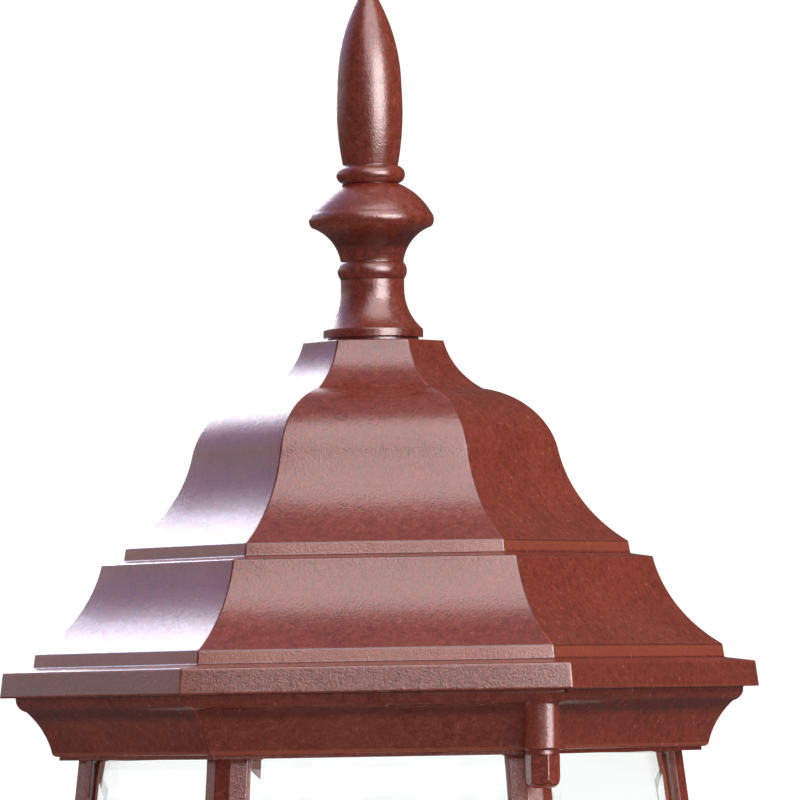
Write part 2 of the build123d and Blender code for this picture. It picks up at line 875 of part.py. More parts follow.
def make_plate_studs():
    high = plate_d + plate_stud_grip
    return [outwards(rod(stud_r, 0, high), side * plate_stud_z) for side in (-1, 1)]


def make_stud_lock_nuts():
    nut = hex_prism(flats_to_corner(nut_flats), strap_t, strap_t + stud_nut_h)
    nut -= rod(stud_r + thread_gap, 0, strap_t + stud_nut_h + 1)
    return [outwards(nut, side * plate_stud_z) for side in (-1, 1)]


def make_plate_cap_nuts():
    nut = Pos(0, 0, plate_d) * Rot(180, 0, 0) * cap_nut()
    return [outwards(nut, side * plate_stud_z) for side in (-1, 1)]


def make_ground_screw():
    head = rod(ground_head_r, strap_t, strap_t + ground_head_h)
    head = fillet(head.edges().group_by(Axis.Z)[-1], ground_head_h / 2)
    return outwards(head + rod(ground_screw_r, 0, strap_t), ground_screw_z)


CORNERS = ["right", "back_right", "back_left", "left", "front_left", "front_right"]
FACES = ["front", "front_right", "back_right", "back", "back_left", "front_left"]


def lantern_pieces():
    """Everything that is drawn about the lantern's own axis."""
    pieces = {
        "roof_casting": make_roof_casting(),
        "finial": make_finial(),
        "finial_stud": make_finial_stud(),
        "finial_washer": make_finial_washer(),
        "finial_lock_nut": make_finial_lock_nut(),
        "roof_studs": make_roof_studs(),
        "roof_nut_front": make_roof_nut(0),
        "roof_nut_rear": make_roof_nut(1),
        "top_ring": make_top_ring(),
        "post_screws_top": make_post_screws_top(),
        "post_screws_base": make_post_screws_base(),
        "base_casting": make_base_casting(),
        "bottom_bowl": make_bottom_bowl(),
        "lamp_nipple": make_lamp_nipple(),
        "lamp_lock_nut": make_lamp_lock_nut(),
        "socket_bracket": make_socket_bracket(),
        "lamp_sockets": make_lamp_sockets(),
        "candle_sleeves": make_candle_sleeves(),
        "bulb_caps": make_bulb_caps(),
        "bulb_glass": make_bulb_glass(),
        "arm_top_collar": make_arm_top_collar(),
    }
    for number, name in enumerate(CORNERS):
        pieces["post_" + name] = make_post(number)
    for number, name in enumerate(FACES):
        pieces["pane_" + name] = make_pane(number)
    return pieces


def wall_pieces():
    """Everything that is drawn in the wall's frame."""
    return {
        "arm_tube": make_arm_tube(),
        "arm_root_collar": make_arm_root_collar(),
        "root_nipple": make_root_nipple(),
        "root_lock_nut": make_root_lock_nut(),
        "wall_plate": make_wall_plate(),
        "mounting_strap": make_mounting_strap(),
        "plate_studs": make_plate_studs(),
        "stud_lock_nuts": make_stud_lock_nuts(),
        "plate_cap_nuts": make_plate_cap_nuts(),
        "ground_screw": make_ground_screw(),
    }


def as_node(shape, place):
    """One solid, or a group of separate solids, moved to its place."""
    shapes = shape if isinstance(shape, list) else [shape]
    solids = []
    for each in shapes:
        solids += (place * each).solids()
    return solids[0] if len(solids) == 1 else Compound(children=solids)


def main():
    os.makedirs("parts", exist_ok=True)
    in_front = Pos(0, -axis_out, seat_z)
    for name, shape in lantern_pieces().items():
        export_step(as_node(shape, in_front), f"parts/{name}.step")
    for name, shape in wall_pieces().items():
        export_step(as_node(shape, Pos(0, 0, 0)), f"parts/{name}.step")
    print(f"lantern seat {seat_z:.2f} above the origin, arm's second bend radius {arm_rise_radius:.2f}")


main()
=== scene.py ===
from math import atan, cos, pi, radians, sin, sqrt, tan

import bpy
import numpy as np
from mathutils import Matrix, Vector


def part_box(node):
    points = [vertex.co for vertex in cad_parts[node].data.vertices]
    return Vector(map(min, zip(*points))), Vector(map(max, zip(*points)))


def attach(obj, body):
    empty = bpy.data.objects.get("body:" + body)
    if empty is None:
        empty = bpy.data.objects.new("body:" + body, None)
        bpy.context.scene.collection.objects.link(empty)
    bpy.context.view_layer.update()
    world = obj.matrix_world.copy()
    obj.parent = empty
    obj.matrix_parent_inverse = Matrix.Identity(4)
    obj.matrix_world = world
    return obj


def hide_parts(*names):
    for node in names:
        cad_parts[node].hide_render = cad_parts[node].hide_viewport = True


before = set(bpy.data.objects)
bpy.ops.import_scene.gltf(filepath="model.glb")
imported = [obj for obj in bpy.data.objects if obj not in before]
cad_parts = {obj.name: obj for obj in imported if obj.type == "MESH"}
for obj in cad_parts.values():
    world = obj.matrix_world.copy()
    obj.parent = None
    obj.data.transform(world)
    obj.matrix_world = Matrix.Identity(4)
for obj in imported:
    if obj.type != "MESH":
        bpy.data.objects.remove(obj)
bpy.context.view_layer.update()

# %% [markdown]
# # A hexagonal cast wall lantern
#
# The real lantern is a set of sand-cast aluminium pieces, painted in a mottled walnut brown.
# Each piece is rebuilt here as a numpy surface: a profile, read bottom to top, is carried round a
# hexagon or round an axis. A cast piece has no sharp edge, so every profile is softened a little
# before it is carried round, and each point keeps a note of how convex the surface is there.
# The paint uses that note: sharp rims are rubbed lighter, hips are darker, and creases get painted shade.
#
# Lengths are in millimetres while a piece is shaped, counted from the seat where the roof meets
# the cage. They become metres in the row frame at the last moment.

MM = 0.001
AXIS = 1e-6  # radius in mm of a point on the axis, which keeps its columns apart in direction
roof_low, roof_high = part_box("roof_casting")
seat = np.array([0.0, (roof_low.y + roof_high.y) / 2, roof_low.z])
fascia_r = (roof_high.x - roof_low.x) / 2 / MM
crown_z = (roof_high.z - roof_low.z) / MM
HALF_FACE = radians(30)
print("seat of the roof at", seat.round(4), "corner radius", round(fascia_r, 2),
      "crown at", round(crown_z, 2))


# %% [markdown]
# ## Profiles
# A profile is a chain of straight lines and arcs. An arc is given by its end and by its sag, which
# is how far its middle stands off the chord, because that is what a template maker measures.

# %% Profile tools
def arc_points(a, b, sag, pitch):
    """Points from a to b on the arc that stands off the chord by sag, to the left of the way to b.

    Half the arc's angle is twice the arctangent of sag over half the chord, and the radius is
    half the chord over the sine of that.
    """
    a, b = np.array(a, float), np.array(b, float)
    chord = np.linalg.norm(b - a)
    count = max(2, int(np.ceil(chord / pitch)) + 1)
    t = np.linspace(-1, 1, count)[:, None]
    if abs(sag) < 1e-6:
        return a + (b - a) * (t + 1) / 2
    along = (b - a) / chord
    left = np.array([-along[1], along[0]])
    half = 2 * atan(2 * sag / chord)
    radius = chord / (2 * sin(half))
    return (a + b) / 2 + along * radius * np.sin(half * t) + left * radius * (np.cos(half * t) - cos(half))


def chain(start, *steps, pitch=0.45):
    """Points along joined lines and arcs. A step is a point, or a pair of a point and the arc's sag."""
    parts = [np.array([start], float)]
    for step in steps:
        there, sag = step if isinstance(step[0], tuple) else (step, 0.0)
        parts.append(arc_points(parts[-1][-1], there, sag, pitch)[1:])
    return np.concatenate(parts)


def even(points, pitch):
    """The same line with points at equal steps along its length."""
    run = np.concatenate([[0], np.cumsum(np.linalg.norm(np.diff(points, axis=0), axis=1))])
    at = np.linspace(0, run[-1], max(4, int(run[-1] / pitch) + 1))
    return np.stack([np.interp(at, run, points[:, k]) for k in range(points.shape[1])], axis=1)


def soften(points, reach, pitch, closed=False):
    """Rounds the corners: each point becomes the mean of the line within reach of it.

    The mean is taken twice over half the reach, so that the curvature also begins gently.
    """
    line = even(np.concatenate([points, points[:1]]) if closed else points, pitch)
    if closed:
        line = line[:-1]
    span = max(1, int(round(reach / pitch / 2)))
    kernel = np.convolve(np.ones(span) / span, np.ones(span) / span)
    pad = len(kernel) // 2
    wide = np.pad(line, ((pad, pad), (0, 0)), "wrap") if closed else \
        np.pad(line, ((pad, pad), (0, 0)), "reflect", reflect_type="odd")
    return np.stack([np.convolve(wide[:, k], kernel, "valid") for k in range(line.shape[1])], axis=1)


# %% [markdown]
# ## Surfaces
# A hexagonal casting has six planes at every height and hips that are slightly rounded, because
# sand does not hold a knife edge. Its section is a smaller hexagon grown by the hip's radius.

# %% Surface tools
HIP_R = 0.9
FLAT_COLUMNS, HIP_COLUMNS = 6, 5


def hexagon_columns():
    """Two unit tables for the columns round a hexagon, counted from the front face.

    The first holds points of the hexagon whose faces are one away from the axis. The second holds
    the direction in which each of them grows, which stays square to a face and sweeps round a hip.
    """
    normal = radians(-90) + radians(60) * np.arange(6)[:, None]
    across = np.linspace(-1, 1, FLAT_COLUMNS)[None, :] * tan(HALF_FACE)
    face_u = np.stack([np.cos(normal) - across * np.sin(normal),
                       np.sin(normal) + across * np.cos(normal)], -1)
    face_v = np.stack([np.cos(normal) + 0 * across, np.sin(normal) + 0 * across], -1)
    corner = normal + HALF_FACE
    sweep = corner + np.linspace(-HALF_FACE, HALF_FACE, HIP_COLUMNS + 2)[None, 1:-1]
    hip_u = np.stack([np.cos(corner) + 0 * sweep, np.sin(corner) + 0 * sweep], -1) / cos(HALF_FACE)
    hip_v = np.stack([np.cos(sweep), np.sin(sweep)], -1)
    return (np.concatenate([face_u, hip_u], 1).reshape(-1, 2),
            np.concatenate([face_v, hip_v], 1).reshape(-1, 2))


def hexagonal(profile, round_within):
    """Carries a profile of face distance and height round a hexagon.

    A point is (a - r) times the unit hexagon plus r times the growing direction, at face distance a
    and hip radius r. The section is a circle up to round_within of the axis, for a hole, and is a
    full hexagon from 1.6 times that distance on.
    """
    u, v = hexagon_columns()
    a, z = profile[:, 0][:, None, None], profile[:, 1]
    r = np.minimum(HIP_R, 0.6 * a)
    plan = (a - r) * u + r * v
    circle = a * u / np.linalg.norm(u, axis=1)[:, None]
    share = np.clip((round_within * 1.6 - a) / (0.6 * round_within), 0, 1)
    plan = plan * (1 - share) + circle * share
    return np.concatenate([plan, np.broadcast_to(z[:, None, None], plan.shape[:2] + (1,))], -1)


def turned(profile, columns=72):
    """Carries a profile of radius and height round the upright axis."""
    turn = np.linspace(0, 2 * pi, columns, endpoint=False)
    r, z = profile[:, 0][:, None], profile[:, 1][:, None]
    return np.stack([r * np.cos(turn), r * np.sin(turn), z + 0 * turn], -1)


def soft_min(a, b, k):
    """The smaller of two numbers, with the crossing rounded over about k."""
    gap = np.clip(0.5 + (b - a) / (2 * k), 0, 1)
    return b * (1 - gap) + a * gap - k * gap * (1 - gap)


def nut_surface(profile, flats, edge=0.35, columns=96):
    """A nut: the smaller of the turned profile's radius and the hexagon's own radius at each turn."""
    turn = np.linspace(0, 2 * pi, columns, endpoint=False)
    off_corner = (turn % radians(60)) - HALF_FACE
    flat_r = flats / 2 / np.cos(off_corner)[None, :]
    r = soft_min(profile[:, 0][:, None] + 0 * flat_r, flat_r, edge)
    r = np.where(profile[:, 0][:, None] < flats / 2 - edge, profile[:, 0][:, None], r)
    return np.stack([r * np.cos(turn), r * np.sin(turn), profile[:, 1][:, None] + 0 * r], -1)


def threaded(radius, low, high, pitch, depth, columns=40):
    """A screwed rod: its radius falls by depth in a ridge that climbs one pitch in every turn."""
    ends = 0.7 * pitch
    z = np.linspace(low, high, int((high - low) / pitch * 8) + 2)
    turn = np.linspace(0, 2 * pi, columns, endpoint=False)
    phase = (turn[None, :] / (2 * pi) - z[:, None] / pitch) % 1
    ridge = np.abs(2 * phase - 1)
    taper = np.clip(np.minimum(z - low, high - z) / ends, 0, 1)[:, None]
    r = radius - depth * (1 - ridge * taper)
    rod = np.stack([r * np.cos(turn), r * np.sin(turn), z[:, None] + 0 * r], -1)
    under, over = (turned(np.array([[AXIS, end]]), columns) for end in (low, high))
    return np.concatenate([under, rod, over])


# %% [markdown]
# ## From a surface to a piece
# The grid of points becomes four-sided faces. A line of points at either end is closed by a fan to
# one point, or the last line is joined to the first where the profile is a closed loop.

# %% Mesh tools
def unit(v):
    """The same directions with a length of one."""
    return v / np.maximum(np.linalg.norm(v, axis=-1, keepdims=True), 1e-12)


def bend_of(grid, axis, normal, closed):
    """How sharply the surface turns away from its normal along one direction, per millimetre."""
    ahead, behind = np.roll(grid, -1, axis) - grid, grid - np.roll(grid, 1, axis)
    step = (np.linalg.norm(ahead, axis=-1) + np.linalg.norm(behind, axis=-1)) / 2
    bend = ((unit(behind) - unit(ahead)) * normal).sum(-1) / np.maximum(step, 0.05)
    if not closed:
        edge = [slice(None)] * 2
        for end in (0, -1):
            edge[axis] = end
            bend[tuple(edge)] = 0
    return bend


def closed_surface(grid, loop=False):
    """Points, faces and convexity of a closed skin. Rows run along the profile, columns wrap round."""
    rows, cols = grid.shape[:2]
    index = np.arange(rows * cols).reshape(rows, cols)
    here = index if loop else index[:-1]
    up = np.roll(index, -1, 0)[:len(here)]
    quads = np.stack([here, np.roll(here, -1, 1), np.roll(up, -1, 1), up], -1).reshape(-1, 4)
    points = grid.reshape(-1, 3)
    faces = [quads]
    if not loop:
        ends = []
        for row, flip in ((index[0], True), (index[-1], False)):
            middle = len(points) + len(ends)
            ends.append(points[row].mean(0))
            ring = row[::-1] if flip else row
            faces.append(np.stack([ring, np.roll(ring, -1), np.full(cols, middle)], -1))
        points = np.concatenate([points, ends])
    tri = np.concatenate([quads[:, [0, 1, 2]], quads[:, [0, 2, 3]], *faces[1:]])
    volume = np.einsum("ij,ij->i", points[tri[:, 0]], np.cross(points[tri[:, 1]], points[tri[:, 2]])).sum()
    along = np.roll(grid, -1, 0) - np.roll(grid, 1, 0)
    if not loop:
        along[0], along[-1] = grid[1] - grid[0], grid[-1] - grid[-2]
    normal = unit(np.cross(np.roll(grid, -1, 1) - np.roll(grid, 1, 1), along))
    if volume < 0:
        faces = [f[:, ::-1] for f in faces]
        normal = -normal
    convex = bend_of(grid, 0, normal, loop) + bend_of(grid, 1, normal, True)
    convex = np.concatenate([convex.reshape(-1), np.zeros(len(points) - rows * cols)])
    return points, faces, convex


def lantern_frame(points):
    """Millimetres from the seat to metres in the row frame."""
    return points * MM + seat


def wall_frame(points):
    """Millimetres from the middle of the plate's back to metres in the row frame."""
    return points * MM


def outwards(points):
    """Lays an upright piece along the way out of the wall: height becomes distance from the wall."""
    return np.stack([points[..., 0], -points[..., 2], points[..., 1]], -1)


def turn_about(points, degrees):
    """The points turned about the upright axis."""
    c, s = cos(radians(degrees)), sin(radians(degrees))
    return points @ np.array([[c, s, 0], [-s, c, 0], [0, 0, 1]])


def place(name, data):
    """A new object with this data, in the scene."""
    obj = bpy.data.objects.new(name, data)
    bpy.context.scene.collection.objects.link(obj)
    return obj


def smooth_mesh(name, points, faces):
    """A smooth mesh from points and from tables of faces with three or four corners."""
    mesh = bpy.data.meshes.new(name)
    mesh.from_pydata(points.tolist(), [], [face for part in faces for face in part.tolist()])
    mesh.shade_smooth()
    return mesh


made = []


def piece(name, grids, stands_for=(), slot="walnut_paint", body="root", loop=False, frame_of=lantern_frame):
    """One Blender object out of closed grids, riding on a body, in the finish of its slot."""
    points, faces, convex, start = [], [], [], 0
    for grid in grids:
        p, f, c = closed_surface(grid, loop)
        points.append(frame_of(p))
        faces += [part + start for part in f]
        convex.append(c)
        start += len(p)
    points = np.concatenate(points)
    mesh = smooth_mesh(name, points, faces)
    edge = mesh.attributes.new("edge", "FLOAT", "POINT")
    edge.data.foreach_set("value", np.concatenate(convex).astype(np.float32))
    mesh.materials.append(FINISH[slot])
    obj = place(name, mesh)
    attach(obj, body)
    if stands_for:
        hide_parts(*stands_for)
    made.append(name)
    size = (points.max(0) - points.min(0)) / MM
    print(f"{name}: {len(mesh.polygons)} faces, {size.round(1)} mm")
    return obj


def wall_piece(name, grid, heights, stands_for, slot="walnut_paint", loop=False):
    """A piece laid out of the wall, once at each height above the middle of the plate."""
    grids = [outwards(grid) + [0, 0, height] for height in heights]
    piece(name, grids, stands_for, slot, loop=loop, frame_of=wall_frame)


def painted_shade_and_warmth(obj, low, high, amount, fade=0.5):
    """Adds an amount to the edge attribute between two heights above the seat, faded over a short way. A
    negative amount paints shade there; a positive one makes the paint warmer.
    """
    points = np.empty(len(obj.data.vertices) * 3)
    obj.data.vertices.foreach_get("co", points)
    height = (points[2::3] - seat[2]) / MM
    inside = np.clip((height - low) / fade, 0, 1) * np.clip((high - height) / fade, 0, 1)
    edge = obj.data.attributes["edge"].data
    values = np.empty(len(edge), np.float32)
    edge.foreach_get("value", values)
    edge.foreach_set("value", (values + amount * inside).astype(np.float32))


# %% [markdown]
# ## Finishes
# Each finish is a small tree of nodes. The noises use object coordinates in metres, so a scale of
# 400 draws a pattern about 2.5 mm wide on every piece.

# %% Node tools
def new_material(name):
    """A material with an empty tree, and the tree."""
    material = bpy.data.materials.new(name)
    material.use_nodes = True
    material.node_tree.nodes.clear()
    return material, material.node_tree


def add(tree, kind, inputs=None, **settings):
    """One node. An input value that is a socket is linked, and any other one is written on the socket."""
    node = tree.nodes.new("ShaderNode" + kind)
    for key, value in settings.items():
        setattr(node, key, value)
    for key, value in (inputs or {}).items():
        if isinstance(value, bpy.types.NodeSocket):
            tree.links.new(value, node.inputs[key])
        else:
            node.inputs[key].default_value = value
    return node


def noise(tree, where, scale, detail=3.0, rough=0.55, distort=0.0):
    """Smooth noise from 0 to 1, with this many waves to the metre."""
    return add(tree, "TexNoise", {"Vector": where, "Scale": scale, "Detail": detail, "Roughness": rough,
                                  "Distortion": distort}).outputs["Fac"]


def calc(tree, operation, a, b):
    """One sum, product, difference or maximum of two values."""
    return add(tree, "Math", {0: a, 1: b}, operation=operation).outputs[0]


def between(tree, value, low, high, to_low=0.0, to_high=1.0):
    """The value carried smoothly from one range to another."""
    return add(tree, "MapRange", {"Value": value, "From Min": low, "From Max": high, "To Min": to_low,
                                  "To Max": to_high}, interpolation_type="SMOOTHSTEP").outputs["Result"]


def band(tree, value, rise, fall, amount):
    """The amount inside a band of values: it grows over the first pair and fades over the second."""
    return calc(tree, "SUBTRACT", between(tree, value, *rise, 0.0, amount),
                between(tree, value, *fall, 0.0, amount))


def blend(tree, share, a, b):
    """Colour a with a share of colour b laid over it."""
    node = add(tree, "Mix", {"Factor": share}, data_type="RGBA")
    for socket, value in ((node.inputs[6], a), (node.inputs[7], b)):
        if isinstance(value, bpy.types.NodeSocket):
            tree.links.new(value, socket)
        else:
            socket.default_value = (*value, 1.0)
    return node.outputs[2]


def ramp(tree, value, *stops):
    """The value turned into a colour. Each stop is a value and its colour."""
    node = add(tree, "ValToRGB", {"Fac": value})
    while len(node.color_ramp.elements) < len(stops):
        node.color_ramp.elements.new(0.5)
    for element, (at, colour) in zip(node.color_ramp.elements, stops):
        element.position = at
        element.color = (*colour, 1.0)
    return node.outputs["Color"]


def bump(tree, height, strength, depth):
    """A normal tilted by the slope of a height that runs over this depth in metres."""
    return add(tree, "Bump", {"Height": height, "Strength": strength, "Distance": depth}).outputs["Normal"]


def surface(tree, **inputs):
    """A principled shader with these inputs, joined to the output."""
    shader = add(tree, "BsdfPrincipled", {key.replace("_", " "): value for key, value in inputs.items()})
    add(tree, "OutputMaterial", {"Surface": shader.outputs["BSDF"]})


# %% [markdown]
# ### Walnut paint
# The castings are sprayed red-brown over a darker coat. The colour drifts over 25 mm, is mottled
# over 2.4 mm where the coats show through each other, and has a grain of 0.7 mm from the sand.
# The note of convexity, per millimetre, then sets the tone of each place:
# - gentle bulges and skirts, about 0.3 to 0.8, are warmer;
# - the rounded hips, about 1.1, are darker;
# - sharp rims, over 1.3, are rubbed thin and pinker in patches;
# - creases, under -0.4, get painted shade, and so does any place whose note is pushed that low.

# %% Walnut paint
# The first colour below is painted shade, laid in creases and in shaded hollows.
PAINTED_SHADE = (0.045, 0.012, 0.010)
HIP_DARK_TONE = (0.050, 0.014, 0.011)
WARM_COAT = (0.44, 0.105, 0.055)
RUBBED_COAT = (0.46, 0.235, 0.190)
CHIPPED_COAT = (0.50, 0.40, 0.37)


def walnut_paint():
    """Paint whose tone is 0.16 of the drift, 0.40 of the mottle and 0.44 of the grain, then worn, with
    painted shade in the creases.
    """
    material, tree = new_material("walnut_paint")
    where = add(tree, "TexCoord").outputs["Object"]
    drift = noise(tree, where, 40, 3)
    mottle = noise(tree, where, 420, 4, 0.65, 0.3)
    grain = noise(tree, where, 1500, 3, 0.6)
    fine = calc(tree, "ADD", calc(tree, "MULTIPLY", mottle, 0.40), calc(tree, "MULTIPLY", grain, 0.44))
    mixed = calc(tree, "ADD", calc(tree, "MULTIPLY", drift, 0.16), fine)
    colour = ramp(tree, mixed, (0.36, (0.140, 0.022, 0.013)), (0.46, (0.228, 0.038, 0.021)),
                  (0.55, (0.290, 0.053, 0.029)), (0.65, (0.350, 0.082, 0.050)))
    edge = add(tree, "Attribute", attribute_name="edge").outputs["Fac"]
    colour = blend(tree, band(tree, edge, (0.12, 0.5), (0.6, 0.95), 0.6), colour, WARM_COAT)
    colour = blend(tree, band(tree, edge, (0.5, 0.85), (1.35, 1.8), 0.45), colour, HIP_DARK_TONE)
    rubbed = calc(tree, "MULTIPLY", between(tree, edge, 1.3, 2.2, 0.0, 0.35),
                  between(tree, noise(tree, where, 220, 4, 0.7), 0.36, 0.58))
    colour = blend(tree, rubbed, colour, RUBBED_COAT)
    # Painted shade: creases, and places whose note is pushed below nought, are darkened.
    crease_shade = between(tree, calc(tree, "MULTIPLY", edge, -1.0), 0.4, 1.6, 0.0, 0.6)
    colour = blend(tree, crease_shade, colour, PAINTED_SHADE)
    chip = between(tree, noise(tree, where, 260, 2, 0.4, 1.2), 0.82, 0.84)
    colour = blend(tree, chip, colour, CHIPPED_COAT)
    rough = calc(tree, "ADD", calc(tree, "MULTIPLY", mottle, 0.24), 0.11)
    height = calc(tree, "ADD", grain, calc(tree, "MULTIPLY", mottle, 0.5))
    normal = bump(tree, height, 0.55, 0.00020)
    surface(tree, Base_Color=colour, Roughness=rough, Normal=normal, Coat_Weight=0.18, Coat_Roughness=0.14,
            Specular_IOR_Level=0.72)
    return material


# %% [markdown]
# ### Glass, metals and the small parts
# The panes are clear rolled glass with a slight waver. Lamp rays pass through them unbent, so that
# light reaches the cage. The fasteners are zinc-plated steel, the lamp pipes brass and the sockets
# dark. A slot is filled by the finish of the same name.

# %% Other finishes
def clear_glass(name, tint, waver, depth):
    """Clear glass that bends what is seen through it, and lets the lamps' rays through."""
    material, tree = new_material(name)
    where = add(tree, "TexCoord").outputs["Object"]
    drift = noise(tree, where, waver, 2)
    paler = tuple(min(1.0, c + 0.02) for c in tint)
    colour = ramp(tree, drift, (0.3, tint), (0.7, paler))
    rough = between(tree, noise(tree, where, 60, 3), 0.4, 0.9, 0.0, 0.03)
    shader = add(tree, "BsdfPrincipled", {
        "Base Color": colour, "Roughness": rough, "IOR": 1.5, "Transmission Weight": 1.0,
        "Normal": bump(tree, drift, 0.3, depth)})
    through = add(tree, "BsdfTransparent", {"Color": (*tint, 1.0)})
    path = add(tree, "LightPath").outputs["Is Shadow Ray"]
    mix = add(tree, "MixShader", {0: path, 1: shader.outputs[0], 2: through.outputs[0]})
    add(tree, "OutputMaterial", {"Surface": mix.outputs[0]})
    return material


def metal(name, dark, light, roughness, wear=(0.7, 0.7, 0.7), grain_scale=900, metallic=1.0):
    """Plated metal or moulded stuff: two tones, a fine grain, and edges of the colour of wear."""
    material, tree = new_material(name)
    where = add(tree, "TexCoord").outputs["Object"]
    broad, fine = noise(tree, where, 120, 4), noise(tree, where, grain_scale, 3)
    mixed = calc(tree, "ADD", calc(tree, "MULTIPLY", broad, 0.6), calc(tree, "MULTIPLY", fine, 0.4))
    colour = ramp(tree, mixed, (0.35, dark), (0.65, light))
    edge = add(tree, "Attribute", attribute_name="edge").outputs["Fac"]
    colour = blend(tree, between(tree, edge, 0.4, 2.0, 0.0, 0.6), colour, wear)
    rough = between(tree, mixed, 0.3, 0.7, roughness * 0.8, roughness * 1.25)
    surface(tree, Base_Color=colour, Metallic=metallic, Roughness=rough,
            Normal=bump(tree, fine, 0.3, 0.00008))
    return material


GLASSES = {
    "clear_pane": ((0.955, 0.975, 0.965), 25, 0.0006),
    "bulb_envelope": ((0.97, 0.975, 0.97), 60, 0.0002),
}
METALS = {
    "zinc_steel": ((0.42, 0.42, 0.41), (0.60, 0.60, 0.58), 0.32),
    "brass_thread": ((0.52, 0.36, 0.13), (0.72, 0.52, 0.22), 0.28, (0.85, 0.68, 0.36)),
    "bulb_cap_metal": ((0.55, 0.54, 0.50), (0.75, 0.73, 0.68), 0.25),
    "dark_socket": ((0.012, 0.012, 0.013), (0.035, 0.034, 0.034), 0.45, (0.09, 0.09, 0.09), 900, 0.0),
    "ivory_sleeve": ((0.66, 0.60, 0.47), (0.76, 0.71, 0.58), 0.42, (0.86, 0.82, 0.72), 500, 0.0),
    "green_screw": ((0.020, 0.170, 0.060), (0.050, 0.280, 0.110), 0.35, (0.35, 0.50, 0.36)),
}
FINISH = {"walnut_paint": walnut_paint()}
FINISH |= {name: clear_glass(name, *row) for name, row in GLASSES.items()}
FINISH |= {name: metal(name, *row) for name, row in METALS.items()}
print(len(FINISH), "finishes")


# %% [markdown]
# ## Cornice and roof
# The cornice is a fascia over a cyma: a bead under the drip edge, a hollow, a long nearly straight
# fall and a rounded foot. Roof and base share it, as they share a pattern in the foundry.

# %% Roof profile
def apothem(corner_r):
    """Distance from the axis to the middle of a face, for a hexagon of this corner radius."""
    return corner_r * cos(HALF_FACE)


wall = 3.0
foot_round, bead_w, bead_h = 1.6, 3.4, 3.8
skirt_lean, crown_margin, flange_r = 0.7, 3.58, 16.1

drip_r = fascia_r - 5.1
foot_r = drip_r - 11.3
fascia_top_r = fascia_r - 1.1
skirt_r, upper_skirt_r, upper_ledge = fascia_top_r - 9.8, 81.7, 7.1
flare_r, shoulder_r = 59.2, 35.2
crown_r = (flange_r + crown_margin) / cos(HALF_FACE)

cyma_h, step_z = 18.3, 19.1
fascia_z = step_z + 8.2
lower_skirt_z = fascia_z + 1.3
lower_skirt_h, upper_skirt_h = 4.3, 4.0
lower_tier_z = lower_skirt_z + lower_skirt_h + 28.5
upper_skirt_z = lower_tier_z + 1.1
flare_z = upper_skirt_z + upper_skirt_h + 29.1
shoulder_z = flare_z + 20.7

moulding = [
    ((apothem(foot_r), foot_round), -0.47),
    ((apothem(drip_r - bead_w), cyma_h - bead_h), 1.0),
    ((apothem(drip_r), cyma_h), -0.8),
    (apothem(drip_r), step_z),
    (apothem(fascia_r), step_z),
    (apothem(fascia_top_r), fascia_z),
]


def tier_steps(inset):
    """The two tiers from the lower skirt to the crown, moved in and down by inset."""
    return [
        (apothem(skirt_r - skirt_lean) - inset, lower_skirt_z + lower_skirt_h - inset),
        ((apothem(upper_skirt_r + upper_ledge) - inset, lower_tier_z - inset), 3.3),
        (apothem(upper_skirt_r) - inset, upper_skirt_z - inset),
        (apothem(upper_skirt_r - skirt_lean) - inset, upper_skirt_z + upper_skirt_h - inset),
        ((apothem(flare_r) - inset, flare_z - inset), 3.3),
        ((apothem(shoulder_r) - inset, shoulder_z - inset), -4.65),
        ((apothem(crown_r) - inset, crown_z - inset), 1.93),
    ]


def ends_of(steps):
    """The points that the steps lead to, without their sags."""
    return [step[0] if isinstance(step[0], tuple) else step for step in steps]


hole_r, roof_lip, lip_h = 2.715, 3.4, 8
outside = chain((apothem(foot_r) - foot_round, 0), *moulding, (apothem(skirt_r), lower_skirt_z),
                *tier_steps(0), (hole_r, crown_z))
inside = chain((hole_r, crown_z - wall), *reversed(ends_of(tier_steps(wall))),
               (apothem(skirt_r - skirt_lean) - wall, lower_skirt_z - roof_lip),
               (apothem(drip_r) - wall, fascia_z - wall), (apothem(drip_r) - wall, step_z + wall / 2),
               (apothem(foot_r) - roof_lip, lip_h), (apothem(foot_r) - roof_lip, 0), pitch=1.0)
roof_profile = soften(np.concatenate([outside, inside]), 1.0, 0.45, closed=True)
roof = piece("roof_shell", [hexagonal(roof_profile, 6.0)], ["roof_casting"], body="roof", loop=True)


# %% [markdown]
# The skirts of both tiers are made warmer. Painted shade darkens the hollow under the fascia and the
# finial's underside, and the fascia band is made a little darker.

# %% Warmth and painted shade on the roof
painted_shade_and_warmth(roof, lower_skirt_z, lower_skirt_z + lower_skirt_h, 0.4)
painted_shade_and_warmth(roof, upper_skirt_z, upper_skirt_z + upper_skirt_h, 0.4)
# Painted shadow under the fascia, over the cove's bead and hollow.
painted_shade_and_warmth(roof, 9.0, step_z - 0.2, -1.5, 4.0)
painted_shade_and_warmth(roof, step_z, fascia_z + 0.2, -0.8, 0.3)
print("fascia", round(apothem(fascia_r), 1), "mm and crown", round(apothem(crown_r), 1), "mm from the axis")


# %% [markdown]
# The two bosses grow out of the cyma beside opposite corners. Each is a round-fronted pad whose
# junction with the moulding is filled with a fillet. So the pad's skin is the soft larger of two
# distances, moulding and pad. Beside the pad the skin sinks into the roof, where it ends unseen.

# %% Bosses
boss_x, boss_y, boss_r = foot_r / 2 - 1.55, apothem(foot_r) + 3.23, 5.6
pad_left, pad_right, pad_top = -9.0, 7.9, step_z + 0.3
roundness, corner_fillet, pad_fillet, foot_r_pad = 2.6, 1.2, 1.6, 0.7
bare = soften(chain((apothem(foot_r) - foot_round, 0), *moulding[:4], (apothem(fascia_r), step_z)), 0.8, 0.3)


